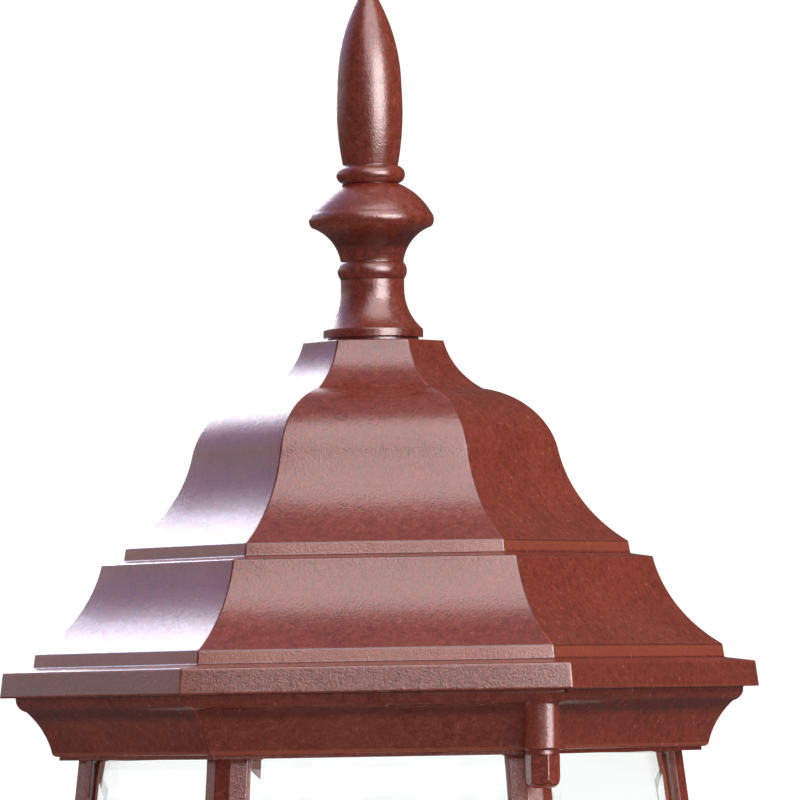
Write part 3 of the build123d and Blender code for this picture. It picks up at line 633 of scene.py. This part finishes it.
def boss_grid():
    """Closed skin over x and height; the outward distance is the soft larger of moulding and pad.

    The pad's plan is |x / r| to the power of its roundness plus the same of its reach, equal to one.
    """
    x = np.concatenate([np.linspace(pad_left, -boss_r - 0.6, 14),
                        boss_r * np.sin(np.linspace(-pi / 2, pi / 2, 44)),
                        np.linspace(boss_r + 0.5, pad_right, 10)])
    z = np.linspace(0, pad_top, 64)
    face = np.interp(z, bare[:, 1], bare[:, 0])[None, :]
    at = (boss_x + x)[:, None]
    cove = soft_min(face + 0 * at, 2 * face - sqrt(3) * at, corner_fillet)
    reach = (np.clip(1 - np.abs(x / boss_r) ** roundness, 0, None) ** (1 / roundness) * boss_r)[:, None]
    beside = np.clip((np.abs(x) - boss_r) * 8, 0, None)[:, None]
    foot = foot_r_pad * (1 - np.sqrt(1 - (1 - np.clip(z / foot_r_pad, 0, 1)) ** 2))[None, :]
    pad = boss_y + reach - beside - foot
    sink = 0.03 + 2.0 * np.clip((np.abs(x) - boss_r - 0.8) / 1.6, 0, 1)[:, None] ** 2
    front = -soft_min(-cove, -pad, pad_fillet) - sink
    back = np.minimum(cove, front) - wall
    xx = np.broadcast_to(at, front.shape)
    zz = np.broadcast_to(z[None, :], front.shape)
    skin = np.stack([xx, -front, zz], -1)
    rear = np.stack([xx, -back, zz], -1)[:, ::-1]
    return np.concatenate([skin, rear], 1)


pad = boss_grid()
for side, turn in (("front", 0), ("rear", 180)):
    piece("roof_boss_" + side, [turn_about(pad, turn)], ["roof_casting"], body="roof")


# %% [markdown]
# ## Finial
# The finial is turned: a flange, a trumpet, a collar, a mushroom, a bead and a spire. It is drilled
# from below for the stud that clamps it to the crown.

# %% Finial
bore_r, stud_up = 2.465, 16.0
under_r, neck_r, above_r, rim_r = 14.6, 10.25, 10.1, 19.3
bead_r, spire_r, belly_r, tip_r = 8.8, 8.85, 10.45, 2.1
base = crown_z + 1.2
flare = base + 2.6
neck = flare + 13.3
collar = neck + 3.0
above = collar + 5.3
rim = above + 11.5
dome = rim + 4.6
slim = dome + 9.4
bead = slim + 5.7
belly = bead + 25.7
tip = belly + 30.6
finial_profile = chain(
    (AXIS, crown_z + stud_up), (bore_r, crown_z + stud_up), (bore_r, crown_z), (under_r, crown_z),
    (under_r, base), (flange_r, base), (flange_r, flare), ((neck_r, neck), 1.6), (neck_r, collar),
    ((neck_r, above), -0.95), (above_r, above), ((rim_r, rim), 2.1), ((rim_r, dome), -0.9),
    ((bead_r, slim), -1.2), ((bead_r, bead), -2.3), (spire_r, bead), ((belly_r, belly), -0.85),
    ((tip_r, tip), -2.1), ((AXIS, tip + 1.35), -0.5), pitch=0.3)
finial_profile = soften(finial_profile, 0.7, 0.3)
finial_profile[:, 0] = np.maximum(finial_profile[:, 0], AXIS)
finial = piece("finial_turned", [turned(finial_profile, 128)], ["finial"], body="roof")
# Painted shade under the mushroom; then the whole finial is made a little darker.
painted_shade_and_warmth(finial, crown_z + 27.5, crown_z + 37.2, -1.5, 5.0)
painted_shade_and_warmth(finial, crown_z + 3.0, tip + 4.0, -0.4)


# %% [markdown]
# ## Cap nuts and studs
# A cap nut is a hexagon whose low crown is turned, so the flats end in shallow arches. The same nut
# holds the roof's studs from below and the wall plate's studs from the front. The studs share one
# thread, and so do the two pipes.

# %% Nuts and studs
nut_flats, nut_hex_h, nut_crown_h, nut_bore = 9.53, 7.4, 3.2, 7.8
nut_crown_r, nut_corner = 2.95, nut_flats / 2 / cos(HALF_FACE)
nut_h = nut_hex_h + nut_crown_h
nut_profile = soften(chain((AXIS, -nut_h), (nut_crown_r, -nut_h), ((nut_corner, -nut_hex_h), -0.7),
                           (nut_corner + 0.3, 0.6 - nut_hex_h), (nut_corner + 0.3, 0), (bore_r, 0),
                           (bore_r, -nut_bore), (AXIS, -nut_bore), pitch=0.15), 0.4, 0.15)
cap_nut = turn_about(nut_surface(nut_profile, nut_flats), -10)


def stud(low, high):
    """A 4.83 mm stud between two heights, with 24 threads to the inch."""
    return threaded(2.415, low, high, 1.06, 0.33)


def pipe(low, high):
    """A 9.7 mm lamp pipe between two heights, with 27 threads to the inch."""
    return threaded(4.85, low, high, 0.94, 0.3, 48)


ring_h, cage_h = 1.2, 160.8
stud_in, stud_grip = 12.0, 7.5
for side, turn in (("front", 0), ("rear", 180)):
    centre = turn_about(np.array([boss_x, -boss_y, -ring_h]), turn)
    piece("roof_cap_nut_" + side, [cap_nut + centre], ["roof_nut_" + side], body="roof_nut_" + side)
roof_stud = stud(-ring_h - stud_grip, stud_in)
stud_foot = np.array([boss_x, -boss_y, 0])
piece("roof_stud_pair", [roof_stud + turn_about(stud_foot, turn) for turn in (0, 180)], ["roof_studs"],
      "zinc_steel", "roof")
washer_r, washer_t, lock_nut_h, stud_spare = 7.0, 1.2, 3.4, 2.5
washer_top = crown_z - wall
nut_seat = washer_top - washer_t
finial_stud = stud(nut_seat - lock_nut_h - stud_spare, crown_z + stud_up)
piece("finial_stud_screwed", [finial_stud], ["finial_stud"], "zinc_steel", "roof")
washer = soften(chain((hole_r, washer_top), (washer_r, washer_top), (washer_r, nut_seat), (hole_r, nut_seat),
                      pitch=0.2), 0.4, 0.2, closed=True)
piece("finial_washer_round", [turned(washer, 64)], ["finial_washer"], "zinc_steel", "roof", loop=True)


# %% [markdown]
# ## Cage
# Six extruded posts lean outwards as they go down. Each is a facet on the corner with two wings in
# front of the glass and two behind it. Pan-head screws hold the ring on their tops.

# %% Posts
deck_z = -ring_h - cage_h
ring_r = foot_r - 2.6
post_r = ring_r - 6.4
deck_edge_r = fascia_top_r - 1.6
post_foot_r = deck_edge_r - 3.38
lean = (post_foot_r - post_r) / cage_h


def post_outline():
    """Corners of the post's section at its top, on the X side, from the facet round to the back."""
    half_facet, wing, wing_t, web = 2.75, 5.5, 2.0, 2.5
    glass_gap, back_wing, back_t = 3.4, 6.6, 1.5
    behind = wing_t + glass_gap
    back = behind + back_t

    def wing_end(depth, width):
        """A point this deep behind the face of the wing and this far along it from the facet."""
        return (post_r - depth * cos(HALF_FACE) - width * sin(HALF_FACE),
                half_facet - depth * sin(HALF_FACE) + width * cos(HALF_FACE))

    def inner(depth, sideways):
        """The point this deep behind the face of the wing whose distance from the middle is sideways."""
        along = (sideways - half_facet + depth * sin(HALF_FACE)) / cos(HALF_FACE)
        return (post_r - depth * cos(HALF_FACE) - along * sin(HALF_FACE), sideways)

    half = [(post_r, half_facet), wing_end(0, wing), wing_end(wing_t, wing), inner(wing_t, web),
            inner(behind, web), wing_end(behind, back_wing), wing_end(back, back_wing), inner(back, 0)]
    return half + [(x, -y) for x, y in reversed(half[:-1])]


section = soften(np.array(post_outline() + post_outline()[:1]), 0.5, 0.22)[:-1]
levels = -ring_h - np.concatenate([[0, 0.15, 0.4], np.linspace(2, cage_h - 2, 24),
                                   [cage_h - 0.4, cage_h - 0.15, cage_h]])
shape = (len(levels), len(section))
post = np.stack([np.broadcast_to(section[:, 0], shape) + lean * (-ring_h - levels)[:, None],
                 np.broadcast_to(section[:, 1], shape), np.broadcast_to(levels[:, None], shape)], -1)
for number, corner in enumerate(["right", "back_right", "back_left", "left", "front_left", "front_right"]):
    piece("cage_post_" + corner, [turn_about(post, 60 * number)], ["post_" + corner])

screw_r = post_r - 3.0
shank_r, head_r, dome_r, recess_r, screw_l, head_h = 1.45, 2.75, 1.8, 0.7, 9.0, 1.9
pan = soften(chain((AXIS, -screw_l), (shank_r, -screw_l), (shank_r, 0), (head_r, 0), (head_r, 0.9),
                   ((dome_r, head_h), -0.3), (1.0, head_h), (recess_r, 1.0), (AXIS, 1.0), pitch=0.12),
             0.25, 0.12)
screw_spots = [turn_about(np.array([screw_r, 0, 0]), 60 * n) for n in range(6)]
piece("post_screw_set", [turned(pan, 40) + spot for spot in screw_spots], ["post_screws_top"], "zinc_steel")


# %% [markdown]
# ## Base and bowl
# The base is the cornice again with a deck across it. Below it hangs a bowl, an upturned ogee in the
# same hexagon, and the arm's top collar carries both.

# %% Base casting and bowl
deck_edge_h, deck_t, base_lip, base_wall = 0.6, 3.4, 4.5, 6
base_h = fascia_z + deck_edge_h
base_foot_z = deck_z - base_h
deck_under = base_h - deck_t
nipple_hole = 5.15
nipple_round = 9.0
base_profile = chain(
    (apothem(foot_r) - foot_round, 0), *moulding, (apothem(deck_edge_r), base_h), (nipple_hole, base_h),
    (nipple_hole, deck_under), (apothem(fascia_r) - base_wall, deck_under),
    (apothem(fascia_r) - base_wall, step_z + 2.25), (apothem(foot_r) - base_lip, lip_h),
    (apothem(foot_r) - base_lip, 0), pitch=0.5)
base_profile = soften(base_profile, 1.0, 0.5, closed=True) + [0, base_foot_z]
piece("base_shell", [hexagonal(base_profile, nipple_round)], ["base_casting"], loop=True)

bowl_r, bowl_h = foot_r - 2.5, 42.0
hub_r, knee_r, belly_in = 20.0, 51.0, 6
knee_z, belly_z, rim_z = -28.0, -6.5, -5.0


def bowl_steps(inset):
    """The bowl from its hub up to its rim, moved in and up by inset."""
    return [
        (apothem(hub_r) - inset, inset - bowl_h),
        ((apothem(knee_r) - inset, inset + knee_z), 2.6),
        ((apothem(bowl_r - belly_in) - inset, inset + belly_z), -5.5),
        (apothem(bowl_r) - 1.2 - inset, inset + rim_z),
    ]


bowl_profile = chain((nipple_hole, -bowl_h), *bowl_steps(0), (apothem(bowl_r), 0),
                     (apothem(bowl_r) - wall, 0), *reversed(ends_of(bowl_steps(wall))),
                     (nipple_hole, wall - bowl_h), pitch=0.5)
bowl_profile = soften(bowl_profile, 1.0, 0.5, closed=True) + [0, base_foot_z]
piece("bowl_shell", [hexagonal(bowl_profile, nipple_round)], ["bottom_bowl"], loop=True)


# %% [markdown]
# ## Lamps
# A three-armed bracket carries three sockets in ivory sleeves. Each bulb is a flame of thin glass on
# a screw cap, with a glass stem and a looped filament inside it.

# %% Lamps
bracket_t, lamp_r = 1.6, 32.0
low = deck_z + bracket_t
spots = [turn_about(np.array([lamp_r, 0, 0]), 120 * n - 90) for n in range(3)]


def at_spots(grid):
    """The same piece at each of the three lamps."""
    return [grid + spot for spot in spots]


cap_low = low + 34
socket_r, socket_bore, socket_top, wire_hole = 9.6, 5.95, low + 50, 1.0
socket = soften(chain((socket_bore, socket_top), (socket_r, socket_top), (socket_r, low), (wire_hole, low),
                      (wire_hole, cap_low), (socket_bore, cap_low), pitch=0.4), 0.6, 0.4, closed=True)
piece("socket_set", at_spots(turned(socket, 48)), ["lamp_sockets"], "dark_socket", loop=True)
sleeve_in, sleeve_out, sleeve_top = 10.0, 11.7, low + 54
sleeve = soften(chain((sleeve_in, low), (sleeve_out, low), (sleeve_out, sleeve_top), (sleeve_in, sleeve_top),
                      pitch=0.4), 0.5, 0.25, closed=True)
piece("sleeve_set", at_spots(turned(sleeve, 64)), ["candle_sleeves"], "ivory_sleeve", loop=True)
glass_low = cap_low + 21
cap = np.concatenate([
    turned(chain((AXIS, cap_low), (3.0, cap_low), (3.4, cap_low + 1.4), pitch=0.4), 48),
    threaded(5.9, cap_low + 1.5, cap_low + 17, 1.8, 0.5, 48)[1:-1],
    turned(chain((5.6, cap_low + 17.5), (5.8, glass_low), (AXIS, glass_low), pitch=0.5), 48)])
piece("bulb_cap_set", at_spots(cap), ["bulb_caps"], "bulb_cap_metal")
bulb_h, bulb_neck, bulb_belly, bulb_tip, bulb_t = 76, 6.4, 16.5, 1.6, 0.8


def flame(inset):
    """The bulb's outline from its neck to its tip, moved in by inset."""
    return chain((bulb_neck - inset, glass_low + inset), ((bulb_belly - inset, glass_low + 30), 1.6),
                 ((bulb_tip - inset / 2, glass_low + bulb_h - 1.5 * inset), -4.2),
                 ((AXIS, glass_low + bulb_h - inset), -0.2), pitch=0.6)


def turned_closed(line, reach, pitch, columns):
    """A softened line from the axis back to the axis, carried round."""
    line = soften(line, reach, pitch)
    line[:, 0] = np.maximum(line[:, 0], AXIS)
    return turned(line, columns)


skin = turned_closed(np.concatenate([[(AXIS, glass_low)], flame(0)]), 1.0, 0.6, 56)
lining = turned_closed(np.concatenate([[(AXIS, glass_low + bulb_t)], flame(bulb_t)]), 1.0, 0.6, 56)
bulbs = at_spots(skin) + at_spots(lining[::-1, ::-1])
piece("bulb_envelope_set", bulbs, ["bulb_glass"], "bulb_envelope")
stem_foot_r, stem_r, stem_top = 3.6, 1.5, glass_low + 24
stem = chain((AXIS, glass_low + 1), (stem_foot_r, glass_low + 1), ((stem_r, glass_low + 14), 1.2),
             (1.1, stem_top), ((AXIS, stem_top + 1), -0.3), pitch=0.3)
piece("bulb_stem_set", at_spots(turned_closed(stem, 0.5, 0.3, 24)), slot="bulb_envelope")


def wire(path, radius, columns=10):
    """A round wire along a path, with its section square to the way the path goes."""
    way = unit(np.gradient(path, axis=0))
    side = unit(np.cross(way, np.array([0.31, 0.11, 0.94])))
    other = np.cross(way, side)
    turn = np.linspace(0, 2 * pi, columns, endpoint=False)[None, :, None]
    return path[:, None] + radius * (side[:, None] * np.cos(turn) + other[:, None] * np.sin(turn))


loop_w, loop_h, coil_r, coil_turns, wire_r = 4.2, 26, 0.45, 150, 0.12
s = np.linspace(0, 1, 260)[:, None]
ease = np.clip(np.minimum(s, 1 - s) * 6, 0, 1)
hang = np.concatenate([np.sin(2 * pi * s) * loop_w, 0 * s, stem_top + loop_h * np.sin(pi * s) ** 0.8], 1)
coil = np.concatenate([np.cos(s * coil_turns) * coil_r, np.sin(s * coil_turns) * coil_r, 0 * s], 1) * ease
piece("filament_set", at_spots(wire(hang + coil, wire_r, 6)), slot="bulb_cap_metal")
collar_h, collar_cup, pipe_nut_h, pipe_spare = 16.0, 8.0, 4.8, 2
nipple_low = base_foot_z - bowl_h - collar_h + collar_cup - 12
nipple_high = low + pipe_nut_h + pipe_spare
piece("lamp_nipple_screwed", [pipe(nipple_low, nipple_high)], ["lamp_nipple"], "brass_thread")


# %% [markdown]
# ## Arm
# The arm is a tube bent as a swan neck: level out of the wall, down through one bend, then up
# through a wide one to stand on the lantern's axis. A turned collar closes each end.

# %% Arm
axis_out = -seat[1] / MM
arm_root = -15.0
dip, dip_r = radians(40), 45.0
plate_d, straight = 24.0, 10
start_out = plate_d + collar_cup
rise_r = (axis_out - start_out - straight - dip_r * sin(dip)) / (1 + sin(dip))


def arm_line(step=1.5):
    """Centre line in the wall's plane, as distance out and height: line, arc down, arc up, line."""
    level = np.stack([np.linspace(start_out, start_out + straight, 8), np.full(8, arm_root)], 1)
    t = np.linspace(0, dip, int(dip_r * dip / step))[1:, None]
    down = level[-1] + dip_r * np.concatenate([np.sin(t), np.cos(t) - 1], 1)
    centre = down[-1] + rise_r * np.array([sin(dip), cos(dip)])
    t = np.linspace(0, pi / 2 + dip, int(rise_r * (pi / 2 + dip) / step))[1:, None] - dip
    up = centre + rise_r * np.concatenate([np.sin(t), -np.cos(t)], 1)
    last = up[-1] + np.stack([np.zeros(7), np.linspace(straight / 7, straight, 7)], 1)
    return np.concatenate([level, down, up, last])


def tube(line, radius):
    """Rings of this radius square to a line of distances out and heights."""
    path = np.stack([np.zeros(len(line)), -line[:, 0], line[:, 1]], 1)
    way = unit(np.gradient(path, axis=0))
    over = np.stack([np.zeros(len(way)), -way[:, 2], way[:, 1]], 1)
    turn = np.linspace(0, 2 * pi, 56, endpoint=False)[None, :, None]
    return path[:, None] + radius * (np.array([1.0, 0, 0]) * np.cos(turn) + over[:, None] * np.sin(turn))


arm_r, arm_bore = 9.0, 4.9
neck_line = arm_line()
neck = np.concatenate([tube(neck_line, arm_r), tube(neck_line, arm_bore)[::-1]])
piece("arm_swan_neck", [neck], ["arm_tube"], loop=True, frame_of=wall_frame)

collar_r, waist_r, ring_bead_r, cup_r, arm_hole = 19.0, 13.2, 14.2, 12.15, 9.05
collar_profile = soften(chain(
    (nipple_hole, 0), (collar_r, 0), (collar_r, -2.0), ((waist_r, -8.0), 1.5), (ring_bead_r, -12.0),
    ((ring_bead_r, -14.0), -0.8), (cup_r, -collar_h), (arm_hole, -collar_h), (arm_hole, -collar_cup),
    (nipple_hole, -collar_cup), pitch=0.3), 0.7, 0.3, closed=True)
turned_collar = turned(collar_profile, 96)
away = [1, -1, -1]
piece("collar_top", [turned_collar + [0, 0, base_foot_z - bowl_h]], ["arm_top_collar"], loop=True)
wall_piece("collar_root", turned_collar * away + [0, 0, plate_d], [arm_root], ["arm_root_collar"], loop=True)
wall_piece("root_nipple_screwed", pipe(plate_d - wall - pipe_nut_h - pipe_spare, start_out + 12), [arm_root],
           ["root_nipple"], "brass_thread")


# %% [markdown]
# ## Wall plate
# The plate is a hollow casting with canted corners. Its outline moves inwards step by step: a rim
# against the wall, a slope, and a raised field that carries the collar and the two cap nuts.

# %% Wall plate
plate_w, plate_h, plate_cut = 120.0, 165.0, 26.0
half_w, half_h = plate_w / 2, plate_h / 2
field_in = 15


def plate_corners(inset):
    """Corners of the canted rectangle when every side has moved in by inset."""
    w, h = half_w - inset, half_h - inset
    cut = plate_cut - inset * (2 - sqrt(2))
    quarter = [(w, h - cut), (w - cut, h)]
    points = quarter + [(-x, y) for x, y in reversed(quarter)]
    return np.array(points + [(-x, -y) for x, y in points])


share = np.concatenate([[0.02, 0.05, 0.1], np.linspace(0.18, 0.82, 7), [0.9, 0.95, 0.98]])[None, :, None]


def side_points(corners):
    """Points along each side, closest together near the corners."""
    return ((1 - share) * corners[:, None] + share * np.roll(corners, -1, 0)[:, None]).reshape(-1, 2)


outer_ring, inner_ring = side_points(plate_corners(0)), side_points(plate_corners(field_in))
plate_steps = soften(chain((15, 24), (15, 18), (13, 18), (5, 7), (0, 7), (0, 0), (3, 0), (3, 4), (8, 4),
                           (16, 15), (18, 15), (18, 21), pitch=0.4), 0.8, 0.4)
plate = np.stack([np.column_stack([outer_ring + (inner_ring - outer_ring) * inset / field_in,
                                   np.full(len(outer_ring), depth)]) for inset, depth in plate_steps])
wall_piece("wall_plate_shell", plate, [0], ["wall_plate"])
stud_z = plate_h / 2 - 25.5
wall_piece("plate_cap_nut_pair", cap_nut * away + [0, 0, plate_d], [-stud_z, stud_z], ["plate_cap_nuts"])
wall_piece("plate_stud_pair", stud(0, plate_d + stud_grip), [-stud_z, stud_z], ["plate_studs"], "zinc_steel")
ground = soften(chain((AXIS, 0), (2.0, 0), (2.0, 2.0), (4.0, 2.0), (4.0, 3.1), ((2.6, 4.2), -0.35),
                      (1.3, 4.2), (1.0, 3.2), (AXIS, 3.2), pitch=0.12), 0.25, 0.12)
wall_piece("ground_screw_headed", turned(ground, 40), [-22.0], ["ground_screw"], "green_screw")


# %% [markdown]
# ## Plain fabricated parts
# The ring, the bracket, the strap, the lock nuts, the screws inside the bowl and the six panes are
# already the right shape in the frame, so they only receive their finish.

# %% Finishes on the frame's own parts
kept = {
    "walnut_paint": ["top_ring"],
    "zinc_steel": ["socket_bracket", "mounting_strap", "finial_lock_nut", "stud_lock_nuts",
                   "post_screws_base"],
    "brass_thread": ["lamp_lock_nut", "root_lock_nut"],
    "clear_pane": [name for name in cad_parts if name.startswith("pane_")],
}
for slot, names in kept.items():
    for name in names:
        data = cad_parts[name].data
        data.materials.clear()
        data.materials.append(FINISH[slot])
print(sum(map(len, kept.values())), "frame parts finished")


# %% [markdown]
# ## Camera
# The lens is long and the camera stands three metres away, a little right of the middle and a
# little below the roof, and it is rolled by one degree. The picture is square.

# %% Camera
turn_right, look_up, roll = radians(0.568), radians(-0.583), radians(-0.975)
distance, focal_px, picture_px, sensor = 3.0, 9320.0, 800.0, 36.0
centre = Vector(seat) + Vector((0.0, 0.0, 0.045))
outward = Vector((sin(turn_right) * cos(look_up), -cos(turn_right) * cos(look_up), sin(look_up)))
stand = centre + distance * outward
aim = centre + Vector((0.00824, 0.0, 0.06802))
back = (stand - aim).normalized()
across = Vector((0, 0, 1)).cross(back).normalized()
upward = back.cross(across)
rolled_x = cos(roll) * across + sin(roll) * upward
rolled_y = -sin(roll) * across + cos(roll) * upward
data = bpy.data.cameras.new("camera")
data.sensor_width = sensor
data.lens = focal_px * sensor / picture_px
data.clip_start, data.clip_end = 0.05, 100
camera = place("camera", data)
camera.matrix_world = Matrix((
    (rolled_x.x, rolled_y.x, back.x, stand.x), (rolled_x.y, rolled_y.y, back.y, stand.y),
    (rolled_x.z, rolled_y.z, back.z, stand.z), (0, 0, 0, 1)))
bpy.context.scene.camera = camera
print("lens", round(data.lens, 1), "mm at", distance, "m")


# %% [markdown]
# ## Light
# Six soft lamps, all rectangular. In the paint one of them may be seen as a sheen, may shade the
# surface, or may do both, as on a set where each is flagged off from the rest:
# - in front and above, a large one is mirrored in the front slopes and a dim one shades them;
# - on the right and above, one shades the right slopes;
# - on the right and low, a strip makes the upright highlight of every turned form;
# - behind, a small panel and a cool softbox draw the pale sheen on the left slopes.
# The surround is dim. Behind on the left it is pale, and what is seen past the lantern is white.

# %% Light, surround and floor
def softbox(name, direction, distance, width, height, radiance, colour, shades, mirrored):
    """A rectangular lamp that faces the lantern. Its power is pi times its area times its radiance.

    It shades the dull part of a surface, is mirrored in the glossy part, or both.
    """
    lamp = bpy.data.lights.new(name, "AREA")
    lamp.shape = "RECTANGLE"
    lamp.size, lamp.size_y = width, height
    lamp.energy = pi * width * height * radiance
    lamp.color = colour
    obj = place(name, lamp)
    target = Vector((0, -0.15, 0.30))
    way = Vector(direction).normalized()
    facing = way.to_track_quat("Z", "Y").to_matrix().to_4x4()
    obj.matrix_world = Matrix.Translation(target + way * distance) @ facing
    obj.visible_camera = False
    obj.visible_diffuse = shades
    obj.visible_glossy = mirrored
    obj.visible_transmission = False


WHITE, COOL = (0.98, 0.97, 1.0), (0.90, 0.89, 1.0)
for row in (
    ("softbox_front", (0.265, -0.700, 0.675), 3.2, 3.5, 3.4, 4.0, WHITE, False, True),
    ("softbox_front_soft", (0.30, -0.680, 0.645), 3.3, 3.5, 3.1, 0.78, WHITE, True, False),
    ("softbox_right_soft", (0.72, -0.18, 0.67), 3.2, 1.8, 2.4, 5.0, (1.0, 0.96, 0.93), True, False),
    ("strip_right", (0.579, -0.797, 0.174), 3.2, 2.3, 1.6, 12.5, (1.0, 0.95, 0.96), False, True),
    ("panel_back", (-0.16, 0.955, 0.26), 3.2, 0.9, 0.9, 10.0, (1.0, 0.98, 1.0), False, True),
    ("softbox_left_back", (-0.32, 0.81, 0.53), 3.2, 1.8, 1.1, 5.4, COOL, True, True),
):
    softbox(*row)


def seen_directly(tree):
    """One for what the camera sees, straight or through glass, and nought for every other ray."""
    path = add(tree, "LightPath").outputs
    return calc(tree, "MAXIMUM", path["Is Camera Ray"], path["Is Transmission Ray"])


world = bpy.data.worlds.new("surround")
bpy.context.scene.world = world
world.use_nodes = True
tree = world.node_tree
tree.nodes.clear()
split = add(tree, "SeparateXYZ", {"Vector": add(tree, "TexCoord").outputs["Generated"]}).outputs
leftwards = between(tree, split["X"], 0.05, -0.55)
backwards = between(tree, split["Y"], -0.30, 0.35)
skywards = between(tree, split["Z"], 0.0, 0.14)
screen = calc(tree, "MULTIPLY", leftwards, calc(tree, "MULTIPLY", backwards, skywards))
mirror_tone = blend(tree, between(tree, split["Z"], 0.55, 1.0), (0.10, 0.075, 0.075), (0.50, 0.38, 0.45))
screen_tone = blend(tree, between(tree, split["Z"], 0.14, 0.34), (0.96, 0.92, 0.94), (0.78, 0.70, 1.14))
mirror_tone = blend(tree, screen, mirror_tone, screen_tone)
tone = blend(tree, add(tree, "LightPath").outputs["Is Glossy Ray"], (0.26, 0.25, 0.26), mirror_tone)
tone = blend(tree, seen_directly(tree), tone, (1.12, 1.12, 1.12))
background = add(tree, "Background", {"Color": tone, "Strength": 1.0})
add(tree, "OutputWorld", {"Surface": background.outputs[0]})

floor_r, floor_z, floor_t = 3.0, -0.6, 0.02
rings = np.linspace(0.02, floor_r, 24)[:, None] * np.ones(96)
swing = np.linspace(0, 2 * pi, 96, endpoint=False)
top = np.stack([rings * np.cos(swing), rings * np.sin(swing) + seat[1], 0 * rings + floor_z], -1)
points, faces, _ = closed_surface(np.concatenate([top, top[::-1] - [0, 0, floor_t]]), True)
mesh = smooth_mesh("floor", points, faces)
floor_paint, tree = new_material("floor_paint")
where = add(tree, "TexCoord").outputs["Object"]
paper = ramp(tree, noise(tree, where, 6, 3), (0.3, (0.84, 0.84, 0.83)), (0.7, (0.88, 0.88, 0.87)))
surface(tree, Base_Color=paper, Roughness=between(tree, noise(tree, where, 20, 2), 0.3, 0.7, 0.7, 0.9),
        Emission_Color=paper, Emission_Strength=calc(tree, "MULTIPLY", seen_directly(tree), 0.45))
mesh.materials.append(floor_paint)
floor = place("floor", mesh)
floor.visible_glossy = False
print("floor", floor_r * 2, "m wide at", floor_z, "m")

view = bpy.context.scene.view_settings
view.view_transform, view.look, view.exposure, view.gamma = "Standard", "None", 0, 1
print(len(made), "pieces made")
